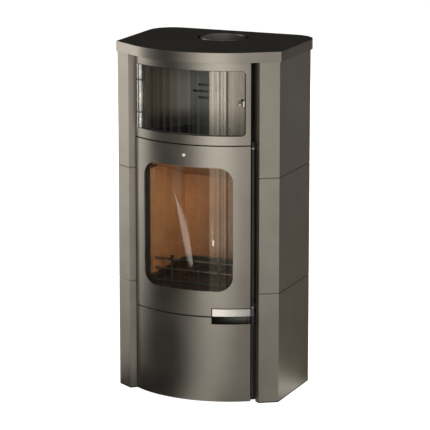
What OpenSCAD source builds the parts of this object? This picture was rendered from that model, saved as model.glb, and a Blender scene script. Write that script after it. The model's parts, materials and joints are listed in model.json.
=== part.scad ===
// Free-standing wood-burning stove with stone side cladding, a curved steel front,
// a tall fire door, a log door below it and a glazed warming compartment on top.
// Millimetres, X to the right, Y to the back, Z up. The origin is on the floor,
// under the middle of the top plate.

/* [Overall] */
// Height from the floor to the top plate
total_h = 1150; // [1120:5:1250]
// Width over the top plate
plate_w = 572; // [540:1:620]
// Depth over the top plate
plate_d = 470; // [450:1:520]
// Height of the levelling feet under the base plate
foot_h = 2; // [2:0.5:8]

/* [Top plate] */
// Height of the folded rim of the top plate
rim_h = 33; // [28:1:45]
// Thickness of the rim wall
rim_t = 6; // [5:0.5:6.5]
// Thickness of the top sheet
top_t = 5; // [4:0.5:8]
// How much larger the radius of the front edge is than that of the doors
top_extra_r = 3; // [1:0.5:8]
// Width of the straight part beside the curved front edge
top_corner_w = 59; // [54:1:64]
// Radius of the back corners of the top plate
top_back_r = 84; // [72:1:95]
// How far the top plate stands over the doors
front_overhang = 31; // [26:1:36]
// How far the top plate stands over the stones
side_overhang = 4.5; // [3:0.5:10]
// Distance of the screws from the sides of the top plate
screw_inset = 114; // [105:1:118]

/* [Stone cladding] */
// Thickness of the side leg of a stone
stone_t = 35; // [28:1:38]
// Width of the front facet, seen from the front
facet_w = 54; // [48:1:60]
// How far the facet falls back to the side
facet_d = 36; // [28:1:42]
// Width of the inner chamfer beside the doors
chamfer_w = 17.4; // [12:0.2:20]
// Depth of the inner chamfer beside the doors
chamfer_d = 15; // [11:0.5:18]
// Distance of the stones from the back edge of the top plate
stone_back_gap = 75; // [72:1:90]
// Height of a lower stone
lower_stone_h = 360; // [330:1:400]
// Height of an upper stone
upper_stone_h = 373; // [340:1:400]
// Bevel along the joints
bevel = 2.2; // [1:0.1:4]
// Radius of the dowels between the stones
dowel_r = 4; // [3:0.5:5]
// Length of a dowel
dowel_l = 30; // [20:1:40]

/* [Curved front] */
// Outer radius of the curved front
front_r = 355; // [345:1:380]
// Thickness of the front sheets
skin_t = 5; // [4:0.5:6]
// Gap for the upright bar between the doors and the right stones
bar_gap = 14.1; // [13.5:0.1:18]
// Gap between the left edge of a door and the stone
door_left_gap = 3.2; // [3:0.1:5]
// Height of the seam between the log door and the fire door
seam_low_z = 287; // [280:1:300]
// Height from the seam over the fire door to the top plate
compartment_h = 270; // [260:1:290]
// Width of the seams
seam_gap = 4; // [3:0.5:6]
// Height of the lower edge of the log door over the floor
door_floor_gap = 4; // [3:0.5:10]
// Depth of the doors, from their face to the frame behind them
door_depth = 27; // [26:0.5:30]
// Thickness of the frame behind the doors
frame_t = 4; // [3:0.5:6]

/* [Fire door] */
// Width of the door sheet to the left of the fire window
fire_left_margin = 39.9; // [38:0.1:50]
// Width of the door sheet to the right of the fire window
fire_right_margin = 49; // [46:0.5:60]
// Height of the door sheet over the fire window
fire_top_margin = 69; // [60:1:90]
// Height of the door sheet under the fire window
fire_low_margin = 82; // [76:1:100]
// Corner radius of the fire window
fire_win_r = 48; // [30:1:60]
// Thickness of the fire glass
fire_glass_t = 4; // [3:0.5:5]
// Depth of the stiffening frame behind the skin
stiffener_t = 12; // [11:0.5:13]
// Width of the rope seal
rope_w = 9; // [8:0.5:10]
// Radius of the pins the doors turn on
hinge_pin_r = 4; // [3:0.1:4.2]
// Running clearance between a pin and its bore
pin_clear = 0.05; // [0.02:0.01:0.08]
// Distance from the left edge of the doors to the hinge pins
hinge_inset = 13; // [12.5:0.5:14]
// Margin from the fire window to the edge of the glass
glass_margin = 10; // [8:0.5:11]
// Radius of the round stud over the window
stud_r = 6; // [4:0.5:8]
// Distance of the stud from the upper edge of the door
stud_drop = 32; // [24:1:44]

/* [Handle] */
// Length of the grip, from its free end to the bar
grip_l = 118; // [90:1:140]
// Height of the grip
grip_h = 24; // [18:1:26]
// Depth of the grip, front to back
grip_t = 9; // [7:0.5:9]
// How far the grip stands in front of the doors
grip_proud = 1; // [0:0.5:4]
// Gap around the grip
grip_gap = 3; // [2:0.5:5]
// Height of the finger recess under the grip
recess_h = 22; // [18:1:24]
// Radius of the upright bar
bar_r = 4; // [3:0.1:4.2]
// Wall of the eyes around the upright bar
eye_wall = 1.6; // [1.2:0.1:1.6]
// Upper end of the bar above the upper seam
bar_over = 11; // [6:1:20]
// Lower end of the bar under the lower seam
bar_under = 21; // [12:1:24]

/* [Warming compartment] */
// Width of the frame to the left of the compartment window
comp_left_margin = 5.8; // [5:0.1:8]
// Width of the frame to the right of the compartment window
comp_right_margin = 13.5; // [12:0.5:24]
// Height of the frame under the compartment window
comp_low_margin = 29; // [28:1:40]
// Height of the frame over the compartment window
comp_top_margin = 26; // [24:1:36]
// Corner radius of the compartment window
comp_win_r = 13; // [6:1:20]
// Thickness of the compartment glass
comp_glass_t = 4; // [3:0.5:5]
// Radius of the hinge tube of the glass door
tube_r = 11; // [9:0.5:12]
// Radius of the pin in the hinge tube
tube_pin_r = 4; // [3:0.1:5]
// Length of the moving middle part of the hinge tube
sleeve_l = 105; // [80:1:130]
// How much narrower the compartment gets on each side towards its back wall
liner_taper = 100; // [80:1:120]
// Gap between the back wall of the compartment and the flue
liner_flue_gap = 12; // [8:1:20]
// Thickness of the compartment sheet
liner_t = 3; // [2:0.5:4]
// Height of the air slots in the back wall
slot_h = 8; // [6:0.5:10]
// Distance between the air slots
slot_step = 21; // [16:0.5:26]
// Length of the middle air slot
slot_l = 122; // [100:1:124]
// How much shorter the outer air slots are
slot_cut = 36; // [20:1:50]
// Height of the small grip above the lower edge of the compartment window
knob_over = 106; // [90:1:130]
// Length of the small grip on the glass
knob_l = 21; // [16:1:26]
// Width of the small grip on the glass
knob_w = 8; // [6:0.5:10]

/* [Firebox] */
// How far the side linings stand inside the edges of the fire window
lining_in = 7; // [4:0.5:12]
// How far the flue reaches over the back lining
flue_over = 20; // [14:1:24]
// Height of the firebox floor over the lower edge of the fire window
floor_over = 7; // [4:0.5:12]
// Thickness of the lining
lining_t = 25; // [20:1:28]
// Thickness of the firebox steel
fire_t = 4; // [3:0.5:5]
// Depth of the baffle under the top of the firebox, at the back lining
baffle_drop = 173; // [160:1:200]
// How much higher the front edge of the baffle is
baffle_rise = 70; // [50:1:90]
// Length of the baffle, back to front
baffle_l = 210; // [180:1:220]
// Thickness of the baffle
baffle_t = 25; // [20:1:30]
// Extra thickness of the lower side lining
step_t = 8; // [5:1:12]
// Height of the thicker lower side lining
step_h = 76; // [60:1:100]
// Length of the grate
grate_l = 180; // [150:1:200]
// Width of the grate
grate_w = 150; // [120:1:170]
// Thickness of the grate
grate_t = 8; // [6:1:10]
// Number of slots in the grate
grate_slots = 7; // [4:1:9]
// Height of the ledge along the back of the firebox floor
ledge_h = 13; // [8:1:20]
// Thickness of the ledge along the back of the firebox floor
ledge_t = 12; // [8:1:15]
// Gap between the front edge of the lining and the log guard
guard_gap = 18.8; // [17:0.1:26]
// Height of the upper rod of the log guard over the floor of the firebox
guard_high = 66; // [50:1:80]
// Height of the lower rod of the log guard over the floor of the firebox
guard_low = 33; // [24:1:40]
// Radius of the rods
rod_r = 3.5; // [2.5:0.5:4]
// Half the distance between the posts of the guard
guard_post_x = 84; // [60:1:110]

/* [Flue] */
// Outer diameter of the flue spigot
flue_d = 150; // [140:1:152]
// Wall of the flue spigot
flue_t = 3; // [2:0.5:4]
// Distance of the middle of the flue from the back edge of the top plate
flue_back = 140; // [135:1:150]
// Gap between the spigot and the hole in the top plate
flue_gap = 8; // [5:0.5:10]

/* [Body] */
// Thickness of the casing sheet
case_t = 3; // [2:0.5:4]
// How far the back of the casing stands inside the stones
case_inset = 9.5; // [6:0.5:16]
// Gap between the casing and the back edge of the top plate
rear_gap = 6.5; // [6.5:0.5:10]
// Thickness of the base plate
base_t = 4; // [3:0.5:6]
// Thickness of the rear panel
panel_t = 2; // [1:0.5:3]
// Distance of the rear panel from the sides of the casing
panel_inset = 80; // [74:1:100]
// Distance of the rear panel from the base plate
panel_low_gap = 54; // [40:1:80]
// Distance of the rear panel from the top plate
panel_top_gap = 27; // [20:1:60]
// Inner radius of the air inlet pipe
inlet_r = 40; // [35:1:42]
// Wall of the air inlet pipe
inlet_t = 2; // [1.5:0.5:3]
// Radius of the levelling feet
foot_r = 20; // [15:1:24]
// Distance of the levelling feet from the sides of the casing
foot_inset = 36.5; // [30:0.5:50]

/* [Log compartment] */
// How much wider than the fire window the log opening is, on each side
log_side = 23; // [10:1:25]
// Height of the lower edge of the log opening over the base plate
log_sill = 34; // [26:1:44]
// Height of the frame between the log opening and the seam
log_head = 19; // [18:1:22]
// Distance of the back of the log bin from the back lining
log_back_gap = 10; // [0:1:40]
// Thickness of the log bin sheet
bin_t = 2; // [1.5:0.5:3]
// Width of the ash pan
ash_w = 200; // [170:1:220]
// Height of the ash pan
ash_h = 38; // [30:1:40]
// Height of the ash pan's bottom under the upper edge of the log opening
ash_drop = 76; // [72:1:78]
// Distance of the back of the ash pan from the back of the air box
ash_back_gap = 32; // [20:1:60]
// Travel of the air slide
air_travel = 40; // [30:1:45]
// Width of the air slide plate
air_w = 90; // [84:1:100]
// Radius of the air knob
air_knob_r = 8; // [6:0.5:9]

/* [Hidden] */
$fn = 96;
curve_fn = 240;

// Colours of the finishes
STEEL = [0.47, 0.45, 0.41];
STONE = [0.50, 0.48, 0.44];
TOP = [0.18, 0.17, 0.15];
INNER = [0.20, 0.20, 0.19];
LINING = [0.62, 0.44, 0.29];
IRON = [0.13, 0.13, 0.13];
BRIGHT = [0.84, 0.83, 0.80];
ZINC = [0.62, 0.62, 0.60];
GLASS = [0.75, 0.80, 0.80, 0.35];
FIRE_GLASS = [0.50, 0.38, 0.28, 0.45];
ROPE = [0.72, 0.70, 0.66];

// Main places worked out from the sizes above
eps = 1;
touch = 0.3;
half_w = plate_w / 2;
half_d = plate_d / 2;
rim_z = total_h - rim_h;
base_top = foot_h + base_t;

front_cy = -half_d + front_overhang + front_r;
function curve_y(r, x) = front_cy - sqrt(r * r - x * x);
skin_in_r = front_r - skin_t;
frame_r = front_r - door_depth;
frame_in_r = frame_r - frame_t;
stiffener_in_r = skin_in_r - stiffener_t;

stone_x = half_w - side_overhang;
stone_in_x = stone_x - stone_t;
facet_x = stone_x - facet_w;
chamfer_x = facet_x - chamfer_w;
chamfer_y = curve_y(front_r, chamfer_x) + 2;
facet_y = chamfer_y - chamfer_d;
corner_y = facet_y + facet_d;
stone_back_y = half_d - stone_back_gap;
joint_low_z = base_top + lower_stone_h;
joint_high_z = rim_z - upper_stone_h;

door_left_x = -(chamfer_x - door_left_gap);
door_right_x = chamfer_x - bar_gap;
seam_high_z = rim_z - compartment_h;
post_x = chamfer_x - 2.2;
flange_y = curve_y(frame_r, chamfer_x);

hinge_x = door_left_x + hinge_inset;
hinge_y = curve_y(skin_in_r - hinge_pin_r - 2.2, hinge_x);

log_door_top = seam_low_z - seam_gap / 2;
fire_door_bottom = seam_low_z + seam_gap / 2;
fire_door_top = seam_high_z - seam_gap / 2;
comp_bottom = seam_high_z + seam_gap / 2;
comp_top = rim_z - 3;

fire_win_left_x = door_left_x + fire_left_margin;
fire_win_right_x = door_right_x - fire_right_margin;
fire_win_w = fire_win_right_x - fire_win_left_x;
opening_x = (fire_win_left_x + fire_win_right_x) / 2;
fire_win_z = fire_door_bottom + fire_low_margin;
fire_win_h = fire_door_top - fire_top_margin - fire_win_z;
fire_glass_r1 = skin_in_r - 0.2;
fire_glass_r0 = fire_glass_r1 - fire_glass_t;
stud_z = fire_door_top - stud_drop;

bar_x = door_right_x + 6;
bar_y = curve_y(front_r, door_right_x) + 5.2;
grip_z = fire_door_bottom;
grip_left_x = bar_x - grip_l;
notch_top = grip_z + grip_h + grip_gap;
notch_left = grip_left_x - grip_gap;
lug_t = 8;
fire_frame_z = notch_top + 6;
fire_frame_top = fire_door_top - lug_t - 3;
log_frame_z = base_top + lug_t + 6;
log_frame_top = log_door_top - recess_h - 1.5;
seal_in = glass_margin + 2;
seal_out = seal_in + rope_w;
frame_left_x = hinge_x - hinge_pin_r - 2;
frame_right_x = door_right_x - 6;

flue_y = half_d - flue_back;
fire_w = fire_win_w - 2 * lining_in;
fire_left = opening_x - fire_w / 2;
fire_right = opening_x + fire_w / 2;
fire_back_y = flue_y + flue_d / 2 - flue_over;
fire_floor_z = fire_win_z + floor_over;
fire_top_z = fire_door_top;
shell_left = fire_left - lining_t - fire_t;
shell_right = fire_right + lining_t + fire_t;
shell_back = fire_back_y + lining_t + fire_t;
steel_floor_z = fire_floor_z - 6;
shell_bottom = steel_floor_z - fire_t;
fire_open_top = fire_win_z + fire_win_h + seal_out - 4;
baffle_back_z = fire_top_z - baffle_drop;
baffle_front_z = baffle_back_z + baffle_rise;
baffle_front_y = fire_back_y - baffle_l;
step_z = fire_floor_z + step_h;
guard_y = curve_y(frame_in_r, fire_left) + guard_gap;
guard_high_z = fire_floor_z + guard_high;
guard_low_z = fire_floor_z + guard_low;
floor_lip = 13;
rod_end_gap = 0.5;
floor_front_y = guard_y - floor_lip;
grate_y = (floor_front_y + fire_back_y) / 2;

comp_win_left_x = -chamfer_x + 0.8 + comp_left_margin;
comp_win_right_x = door_right_x - comp_right_margin;
comp_win_w = comp_win_right_x - comp_win_left_x;
comp_win_x = comp_win_right_x - comp_win_w / 2;
comp_win_z = comp_bottom + comp_low_margin;
comp_win_top = comp_top - comp_top_margin;
comp_win_h = comp_win_top - comp_win_z;
liner_floor = comp_win_z - 12;
liner_top = comp_win_top + 10;
liner_mouth_w = fire_win_w + 20;
liner_back_w = liner_mouth_w - 2 * liner_taper;
liner_back_y = flue_y - flue_d / 2 - liner_flue_gap;
tube_x = comp_win_left_x + 16.6;
tube_y = curve_y(skin_in_r, tube_x);
glass_out_r = skin_in_r - 1;
glass_in_r = glass_out_r - comp_glass_t;
glass_left_x = tube_x + tube_r + 1;
glass_right_x = comp_win_right_x - 2;
sleeve_z = comp_win_z + (comp_win_h - sleeve_l) / 2;
knob_x = glass_right_x - 8;
knob_z = comp_win_z + knob_over;

case_back_x = stone_x - case_inset;
case_back_y = half_d - rear_gap;
panel_w = 2 * (case_back_x - panel_inset);
panel_z = base_top + panel_low_gap;
panel_h = rim_z - panel_top_gap - panel_z;

log_w = fire_win_w + 2 * log_side;
log_z = base_top + log_sill;
log_top_z = seam_low_z - log_head;
log_back_y = fire_back_y - log_back_gap;
bin_top_z = log_top_z - ash_drop - 6;
air_box_z = log_top_z + 2;
air_box_back = fire_back_y - 20;
inlet_z = (air_box_z + shell_bottom) / 2;
air_x = opening_x - air_travel / 2;
chute_w = grate_w - 20;
chute_l = grate_l - 20;
ash_front_y = curve_y(frame_in_r, ash_w / 2 + abs(opening_x)) + 6;
ash_d = air_box_back - ash_back_gap - ash_front_y;
ash_z = log_top_z - ash_drop;

// Shared outlines and cutters

module round_rect(w, h, r) {
    translate([-w / 2 + r, -h / 2]) square([w - 2 * r, h]);
    translate([-w / 2, -h / 2 + r]) square([w, h - 2 * r]);
    for (sx = [-1, 1], sy = [-1, 1])
        translate([sx * (w / 2 - r), sy * (h / 2 - r)]) circle(r = r);
}

// A prism that runs from the front towards the middle, with a rounded outline
cut_y = flange_y + 41;
module window_cut(x, z, w, h, r) {
    translate([x, cut_y, z + h / 2]) rotate([90, 0, 0]) linear_extrude(cut_y + half_d) round_rect(w, h, r);
}

// Part of the curved front between two radii, two sides and two heights
module curved(r0, r1, x0, x1, z0, z1) {
    intersection() {
        translate([0, front_cy, z0]) difference() {
            cylinder(r = r1, h = z1 - z0, $fn = curve_fn);
            translate([0, 0, -eps]) cylinder(r = r0, h = z1 - z0 + 2 * eps, $fn = curve_fn);
        }
        translate([x0, -half_d - 20, z0]) cube([x1 - x0, half_d + 20, z1 - z0]);
    }
}

// Upright pin or bore at a place in plan
module post(x, y, r, z0, z1) {
    translate([x, y, z0]) cylinder(r = r, h = z1 - z0, $fn = 48);
}

// Long block, turned by 45 degrees, that bevels the edge from p to q; up is 1 for an upper edge
// and -1 for a lower one
module edge_cut(p, q, z, c, up) {
    run = norm(q - p);
    angle = atan2(q[1] - p[1], q[0] - p[0]);
    translate([p[0], p[1], z]) rotate([0, 0, angle]) rotate([up * 45, 0, 0])
        translate([-c * 3, -c / sqrt(2), -c * 1.5]) cube([run + c * 6, c * 3, c * 3]);
}

// Top plate outline, drawn in by a margin
top_front_r = front_r + top_extra_r;
top_curve_x = half_w - top_corner_w;
facet_slope = (corner_y - 1 - curve_top_y(top_curve_x)) / (half_w - top_curve_x);
function curve_top_y(x) = -half_d + top_front_r - sqrt(top_front_r * top_front_r - x * x);
function top_facet_y(x, m) = curve_top_y(top_curve_x) + facet_slope * (x - top_curve_x)
    + m * sqrt(1 + facet_slope * facet_slope);
module top_outline(m) {
    intersection() {
        union() {
            translate([0, -half_d + top_front_r]) circle(r = top_front_r - m, $fn = curve_fn);
            polygon([
                [-half_w + m, top_facet_y(half_w - m, m)], [-top_curve_x + m, top_facet_y(top_curve_x - m, m)],
                [top_curve_x - m, top_facet_y(top_curve_x - m, m)], [half_w - m, top_facet_y(half_w - m, m)],
                [half_w - m, half_d], [-half_w + m, half_d]
            ]);
        }
        union() {
            translate([-half_w + m, -half_d]) square([plate_w - 2 * m, plate_d - top_back_r]);
            translate([-half_w + top_back_r, -half_d]) square([plate_w - 2 * top_back_r, plate_d - m]);
            for (sx = [-1, 1])
                translate([sx * (half_w - top_back_r), half_d - top_back_r]) circle(r = top_back_r - m);
        }
    }
}

// Back part of the casing with its round corners
case_back_r = case_back_y - stone_back_y;
module case_back_outline(m) {
    intersection() {
        union() {
            for (sx = [-1, 1])
                translate([sx * (case_back_x - case_back_r), stone_back_y]) circle(r = case_back_r - m);
            translate([-case_back_x + case_back_r, stone_back_y - 1])
                square([2 * (case_back_x - case_back_r), case_back_r - m + 1]);
        }
        translate([-half_w, stone_back_y + m]) square([plate_w, case_back_r]);
    }
}

// Base, casing and rear

foot_front = [stone_in_x - foot_inset, corner_y + 1.5 * foot_inset];
foot_rear = [case_back_x - foot_inset - 45, case_back_y - foot_inset];
foot_places = [for (sx = [-1, 1], p = [foot_front, foot_rear]) [sx * p[0], p[1]]];

module base_plate() {
    color(STEEL) difference() {
        translate([0, 0, foot_h]) linear_extrude(base_t) union() {
            polygon([
                [-stone_x, stone_back_y], [-stone_x, corner_y], [-facet_x, facet_y],
                [-chamfer_x, chamfer_y], [-chamfer_x, flange_y], [chamfer_x, flange_y],
                [chamfer_x, chamfer_y], [facet_x, facet_y], [stone_x, corner_y], [stone_x, stone_back_y]
            ]);
            intersection() {
                translate([0, front_cy]) circle(r = frame_r + 2.5, $fn = curve_fn);
                translate([-post_x + 4, -half_d]) square([2 * post_x - 8, half_d]);
            }
            case_back_outline(0);
        }
        for (p = foot_places) post(p[0], p[1], 5.05, 0, base_top + eps);
    }
}

module levelling_feet() {
    color(IRON) for (p = foot_places) {
        post(p[0], p[1], foot_r, 0, foot_h);
        post(p[0], p[1], 5, foot_h, base_top + 6);
    }
}

module case_inner_plan() {
    translate([-stone_in_x + case_t, flange_y + case_t])
        square([2 * (stone_in_x - case_t), stone_back_y - flange_y + eps]);
    case_back_outline(case_t);
}

module casing() {
    color(STEEL) difference() {
        translate([0, 0, base_top]) linear_extrude(total_h - top_t - base_top) difference() {
            union() {
                translate([-stone_in_x, flange_y]) square([2 * stone_in_x, stone_back_y - flange_y + case_t]);
                case_back_outline(0);
            }
            case_inner_plan();
            translate([-post_x, flange_y - eps]) square([2 * post_x, case_t + 2 * eps]);
        }
        translate([0, case_back_y - case_t - eps, panel_z + panel_h / 2]) rotate([-90, 0, 0])
            linear_extrude(case_t + 2 * eps) round_rect(panel_w - 40, panel_h - 40, 20);
        for (z = [panel_z + 10, panel_z + panel_h / 2, panel_z + panel_h - 10], sx = [-1, 1])
            translate([sx * (panel_w / 2 - 10), case_back_y + eps, z]) rotate([90, 0, 0])
                cylinder(r = screw_r + 0.1, h = case_t + 2 * eps, $fn = 24);
    }
}

screw_r = 2;
panel_slots = 9;
module rear_panel() {
    color(STEEL) difference() {
        translate([0, case_back_y + panel_t, panel_z + panel_h / 2]) rotate([90, 0, 0])
            linear_extrude(panel_t) difference() {
                round_rect(panel_w, panel_h, 6);
                for (row = [-1, 1], i = [0 : panel_slots - 1])
                    translate([(i - (panel_slots - 1) / 2) * 34, row * (panel_h / 2 - 75)])
                        round_rect(8, 70, 3.9);
                translate([0, inlet_z - panel_z - panel_h / 2]) circle(r = inlet_r + inlet_t);
            }
        for (z = [panel_z + 10, panel_z + panel_h / 2, panel_z + panel_h - 10], sx = [-1, 1])
            translate([sx * (panel_w / 2 - 10), case_back_y + panel_t + eps, z]) rotate([90, 0, 0])
                cylinder(r = screw_r + 0.1, h = panel_t + 2 * eps, $fn = 24);
    }
}

module rear_panel_screws() {
    color(ZINC)
        for (z = [panel_z + 10, panel_z + panel_h / 2, panel_z + panel_h - 10], sx = [-1, 1])
            translate([sx * (panel_w / 2 - 10), case_back_y + panel_t, z]) rotate([90, 0, 0]) {
                cylinder(r = screw_r, h = panel_t + case_t + 2, $fn = 24);
                translate([0, 0, -2]) cylinder(r = 4.5, h = 2, $fn = 32);
            }
}

module air_inlet_pipe() {
    color(ZINC) translate([0, case_back_y + panel_t, inlet_z]) rotate([90, 0, 0]) rotate_extrude() {
        translate([inlet_r, 0]) square([inlet_t, case_back_y + panel_t - air_box_back]);
        translate([inlet_r + inlet_t, panel_t]) square([8, 2]);
    }
}

module front_frame() {
    color(INNER) difference() {
        curved(frame_in_r, frame_r, -post_x, post_x, base_top, comp_top);
        window_cut(opening_x, log_z, log_w, log_top_z - log_z, 6);
        window_cut(opening_x, steel_floor_z, fire_w, fire_open_top - steel_floor_z, 12);
        window_cut(opening_x, liner_floor + liner_t, liner_mouth_w, liner_top - liner_floor - 2 * liner_t, 4);
    }
}

// Firebox

module shell_plan(m, back) {
    intersection() {
        translate([0, front_cy]) circle(r = frame_in_r - 0.1, $fn = curve_fn);
        translate([shell_left + m, -half_d]) square([shell_right - shell_left - 2 * m, half_d + shell_back - back]);
    }
}

module firebox() {
    color(INNER) difference() {
        translate([0, 0, shell_bottom]) linear_extrude(fire_top_z - shell_bottom) shell_plan(0, 0);
        translate([0, 0, steel_floor_z]) linear_extrude(fire_top_z - fire_t - steel_floor_z)
            translate([shell_left + fire_t, -half_d]) square([
                shell_right - shell_left - 2 * fire_t, half_d + shell_back - fire_t
            ]);
        post(0, flue_y, flue_d / 2 - flue_t, fire_top_z - fire_t - eps, fire_top_z + eps);
        translate([opening_x - chute_w / 2, grate_y - chute_l / 2, shell_bottom - eps])
            cube([chute_w, chute_l, fire_t + 2 * eps]);
    }
}

module side_lining(side) {
    x_out = opening_x + side * (fire_w / 2 + lining_t);
    x_in = opening_x + side * fire_w / 2;
    x_step = x_in - side * step_t;
    front_r_in = frame_in_r - 0.4;
    slot_r = rod_r + touch;
    slot_low_z = guard_low_z - slot_r;
    difference() {
        intersection() {
            translate([0, 0, fire_floor_z]) linear_extrude(baffle_front_z - fire_floor_z) polygon([
                [x_out, curve_y(front_r_in, x_out)], [x_step, curve_y(front_r_in, x_step)],
                [x_step, fire_back_y], [x_out, fire_back_y]
            ]);
            translate([0, half_d, 0]) rotate([90, 0, 0]) linear_extrude(plate_d) polygon([
                [x_out, fire_floor_z], [x_step, fire_floor_z], [x_step, step_z - step_t],
                [x_in, step_z], [x_in, baffle_front_z], [x_out, baffle_front_z]
            ]);
            translate([-half_w, 0, 0]) rotate([90, 0, 90]) linear_extrude(plate_w) polygon([
                [-half_d, fire_floor_z], [fire_back_y, fire_floor_z], [fire_back_y, baffle_back_z],
                [baffle_front_y, baffle_front_z], [-half_d, baffle_front_z]
            ]);
        }
        // Slot that the ends of the rods of the log guard drop into from above
        translate([x_in - side * (step_t + eps) / 2 - (step_t + eps) / 2, guard_y - slot_r, slot_low_z])
            translate([side < 0 ? rod_end_gap : 0, 0, 0])
                cube([step_t + eps - rod_end_gap, 2 * slot_r, step_z - slot_low_z]);
    }
}

module lining_left() {
    color(LINING) side_lining(-1);
}

module lining_right() {
    color(LINING) side_lining(1);
}

module lining_back() {
    color(LINING) translate([fire_left - lining_t, fire_back_y, fire_floor_z])
        cube([fire_w + 2 * lining_t, lining_t, baffle_back_z - fire_floor_z]);
}

module fire_floor() {
    ledge_half = fire_w / 2 - step_t - touch;
    color(IRON) difference() {
        union() {
            intersection() {
                translate([fire_left - lining_t, floor_front_y, steel_floor_z]) cube([
                    fire_w + 2 * lining_t, fire_back_y + lining_t - floor_front_y, fire_floor_z - steel_floor_z
                ]);
                translate([0, front_cy, 0]) cylinder(r = frame_in_r - 0.4, h = total_h, $fn = curve_fn);
            }
            translate([opening_x - ledge_half, fire_back_y - touch - ledge_t, fire_floor_z - eps])
                cube([2 * ledge_half, ledge_t, ledge_h + eps]);
        }
        translate([opening_x - grate_w / 2 - touch, grate_y - grate_l / 2 - touch, steel_floor_z - eps])
            cube([grate_w + 2 * touch, grate_l + 2 * touch, grate_t + 2 * eps]);
    }
}

module baffle() {
    color(LINING) translate([fire_left - lining_t, 0, 0]) rotate([90, 0, 90])
        linear_extrude(fire_w + 2 * lining_t) polygon([
            [fire_back_y, baffle_back_z], [fire_back_y + lining_t, baffle_back_z],
            [fire_back_y + lining_t, baffle_back_z + baffle_t], [fire_back_y, baffle_back_z + baffle_t],
            [baffle_front_y, baffle_front_z + baffle_t], [baffle_front_y, baffle_front_z]
        ]);
}

module grate() {
    color(IRON) translate([opening_x, grate_y, steel_floor_z]) linear_extrude(grate_t) difference() {
        square([grate_w, grate_l], center = true);
        for (i = [0 : grate_slots - 1])
            translate([(i - (grate_slots - 1) / 2) * grate_w / (grate_slots + 1), 0])
                round_rect(9, grate_l - 30, 4.4);
    }
}

module log_guard() {
    guard_half = fire_w / 2 - 2 * rod_end_gap;
    color(IRON) {
        for (z = [guard_low_z, guard_high_z])
            translate([opening_x - guard_half, guard_y, z]) rotate([0, 90, 0])
                cylinder(r = rod_r, h = 2 * guard_half, $fn = 32);
        for (sx = [-1, 1]) translate([opening_x + sx * guard_post_x, guard_y, 0]) {
            translate([-5, rod_r - 0.5, fire_floor_z]) cube([10, 5, guard_high_z + 12 - fire_floor_z]);
            translate([-5, rod_r - 11, fire_floor_z]) cube([10, 16, 3]);
            for (z = [guard_low_z, guard_high_z])
                translate([-6, -rod_r - 2, z - rod_r - 2]) cube([12, 2 * rod_r + 3, 3]);
        }
    }
}

// Air supply and ash

module air_box() {
    box_h = shell_bottom - air_box_z;
    color(INNER) difference() {
        translate([0, 0, air_box_z]) linear_extrude(box_h) air_box_plan(0);
        difference() {
            translate([0, 0, air_box_z + 2]) linear_extrude(box_h) air_box_plan(2);
            translate([opening_x - chute_w / 2 - 2, grate_y - chute_l / 2 - 2, air_box_z])
                cube([chute_w + 4, chute_l + 4, box_h]);
        }
        translate([opening_x - chute_w / 2, grate_y - chute_l / 2, air_box_z - eps])
            cube([chute_w, chute_l, box_h + 2 * eps]);
        air_slots(air_box_z - eps, 2 + 2 * eps);
        translate([0, air_box_back - 2 - eps, inlet_z]) rotate([-90, 0, 0]) cylinder(r = inlet_r, h = 2 + 2 * eps);
    }
}

module air_box_plan(m) {
    intersection() {
        translate([0, front_cy]) circle(r = frame_in_r - 0.1 - m, $fn = curve_fn);
        translate([shell_left + 10 + m, -half_d])
            square([shell_right - shell_left - 20 - 2 * m, half_d + air_box_back - m]);
    }
}

// Slide under the air box, with its knob below the front edge
slide_t = 3;
slide_z = air_box_z - 0.5 - slide_t;
slide_y = front_cy - frame_in_r + 23;
slide_d = 45;
slide_slots = [-26, 0, 26];
slide_tab_w = 20;
air_knob_z = slide_z - 14;

module air_slots(z, h) {
    for (x = slide_slots) translate([air_x + x - 5, slide_y + 8, z]) cube([10, slide_d - 16, h]);
}

module air_slide_guides() {
    end_room = 12;
    long = air_w + air_travel + 2 * end_room;
    front_l = air_w / 2 + end_room - slide_tab_w / 2 - 2;
    drop = air_box_z - slide_z + 3;
    color(ZINC) translate([air_x - air_w / 2 - end_room, slide_y, slide_z - 3]) {
        translate([0, -3.5, 0]) guide(front_l, drop);
        translate([long - front_l, -3.5, 0]) guide(front_l, drop);
        translate([0, slide_d + 3.5, 0]) mirror([0, 1, 0]) guide(long, drop);
    }
}

// Angle that hangs from the air box and holds one edge of the slide
module guide(long, drop) {
    cube([long, 3, drop]);
    cube([long, 7, 3 - touch]);
}

module air_slide() {
    color(ZINC) {
        difference() {
            translate([air_x - air_w / 2, slide_y, slide_z]) cube([air_w, slide_d, slide_t]);
            air_slots(slide_z - eps, slide_t + 2 * eps);
        }
        translate([air_x - slide_tab_w / 2, slide_y, air_knob_z - 10])
            cube([slide_tab_w, 3, slide_z - air_knob_z + 10.01]);
    }
}

module air_knob() {
    long = 23 + frame_t;
    color(BRIGHT) translate([air_x, slide_y, air_knob_z]) rotate([90, 0, 0]) rotate_extrude() polygon([
        [0, 0], [4, 0], [4, long - 15], [air_knob_r, long - 12],
        [air_knob_r, long - 2], [air_knob_r - 1.5, long], [0, long]
    ]);
}

module ash_pan() {
    color(ZINC) translate([opening_x - ash_w / 2, ash_front_y, ash_z]) difference() {
        union() {
            cube([ash_w, ash_d, ash_h]);
            translate([ash_w / 2 - 40, -9, ash_h - 14]) cube([80, 9.01, 10]);
        }
        translate([2, 2, 2]) cube([ash_w - 4, ash_d - 4, ash_h]);
        translate([ash_w / 2 - 42, -7, ash_h - 15]) cube([84, 7, 9]);
    }
}

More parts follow.
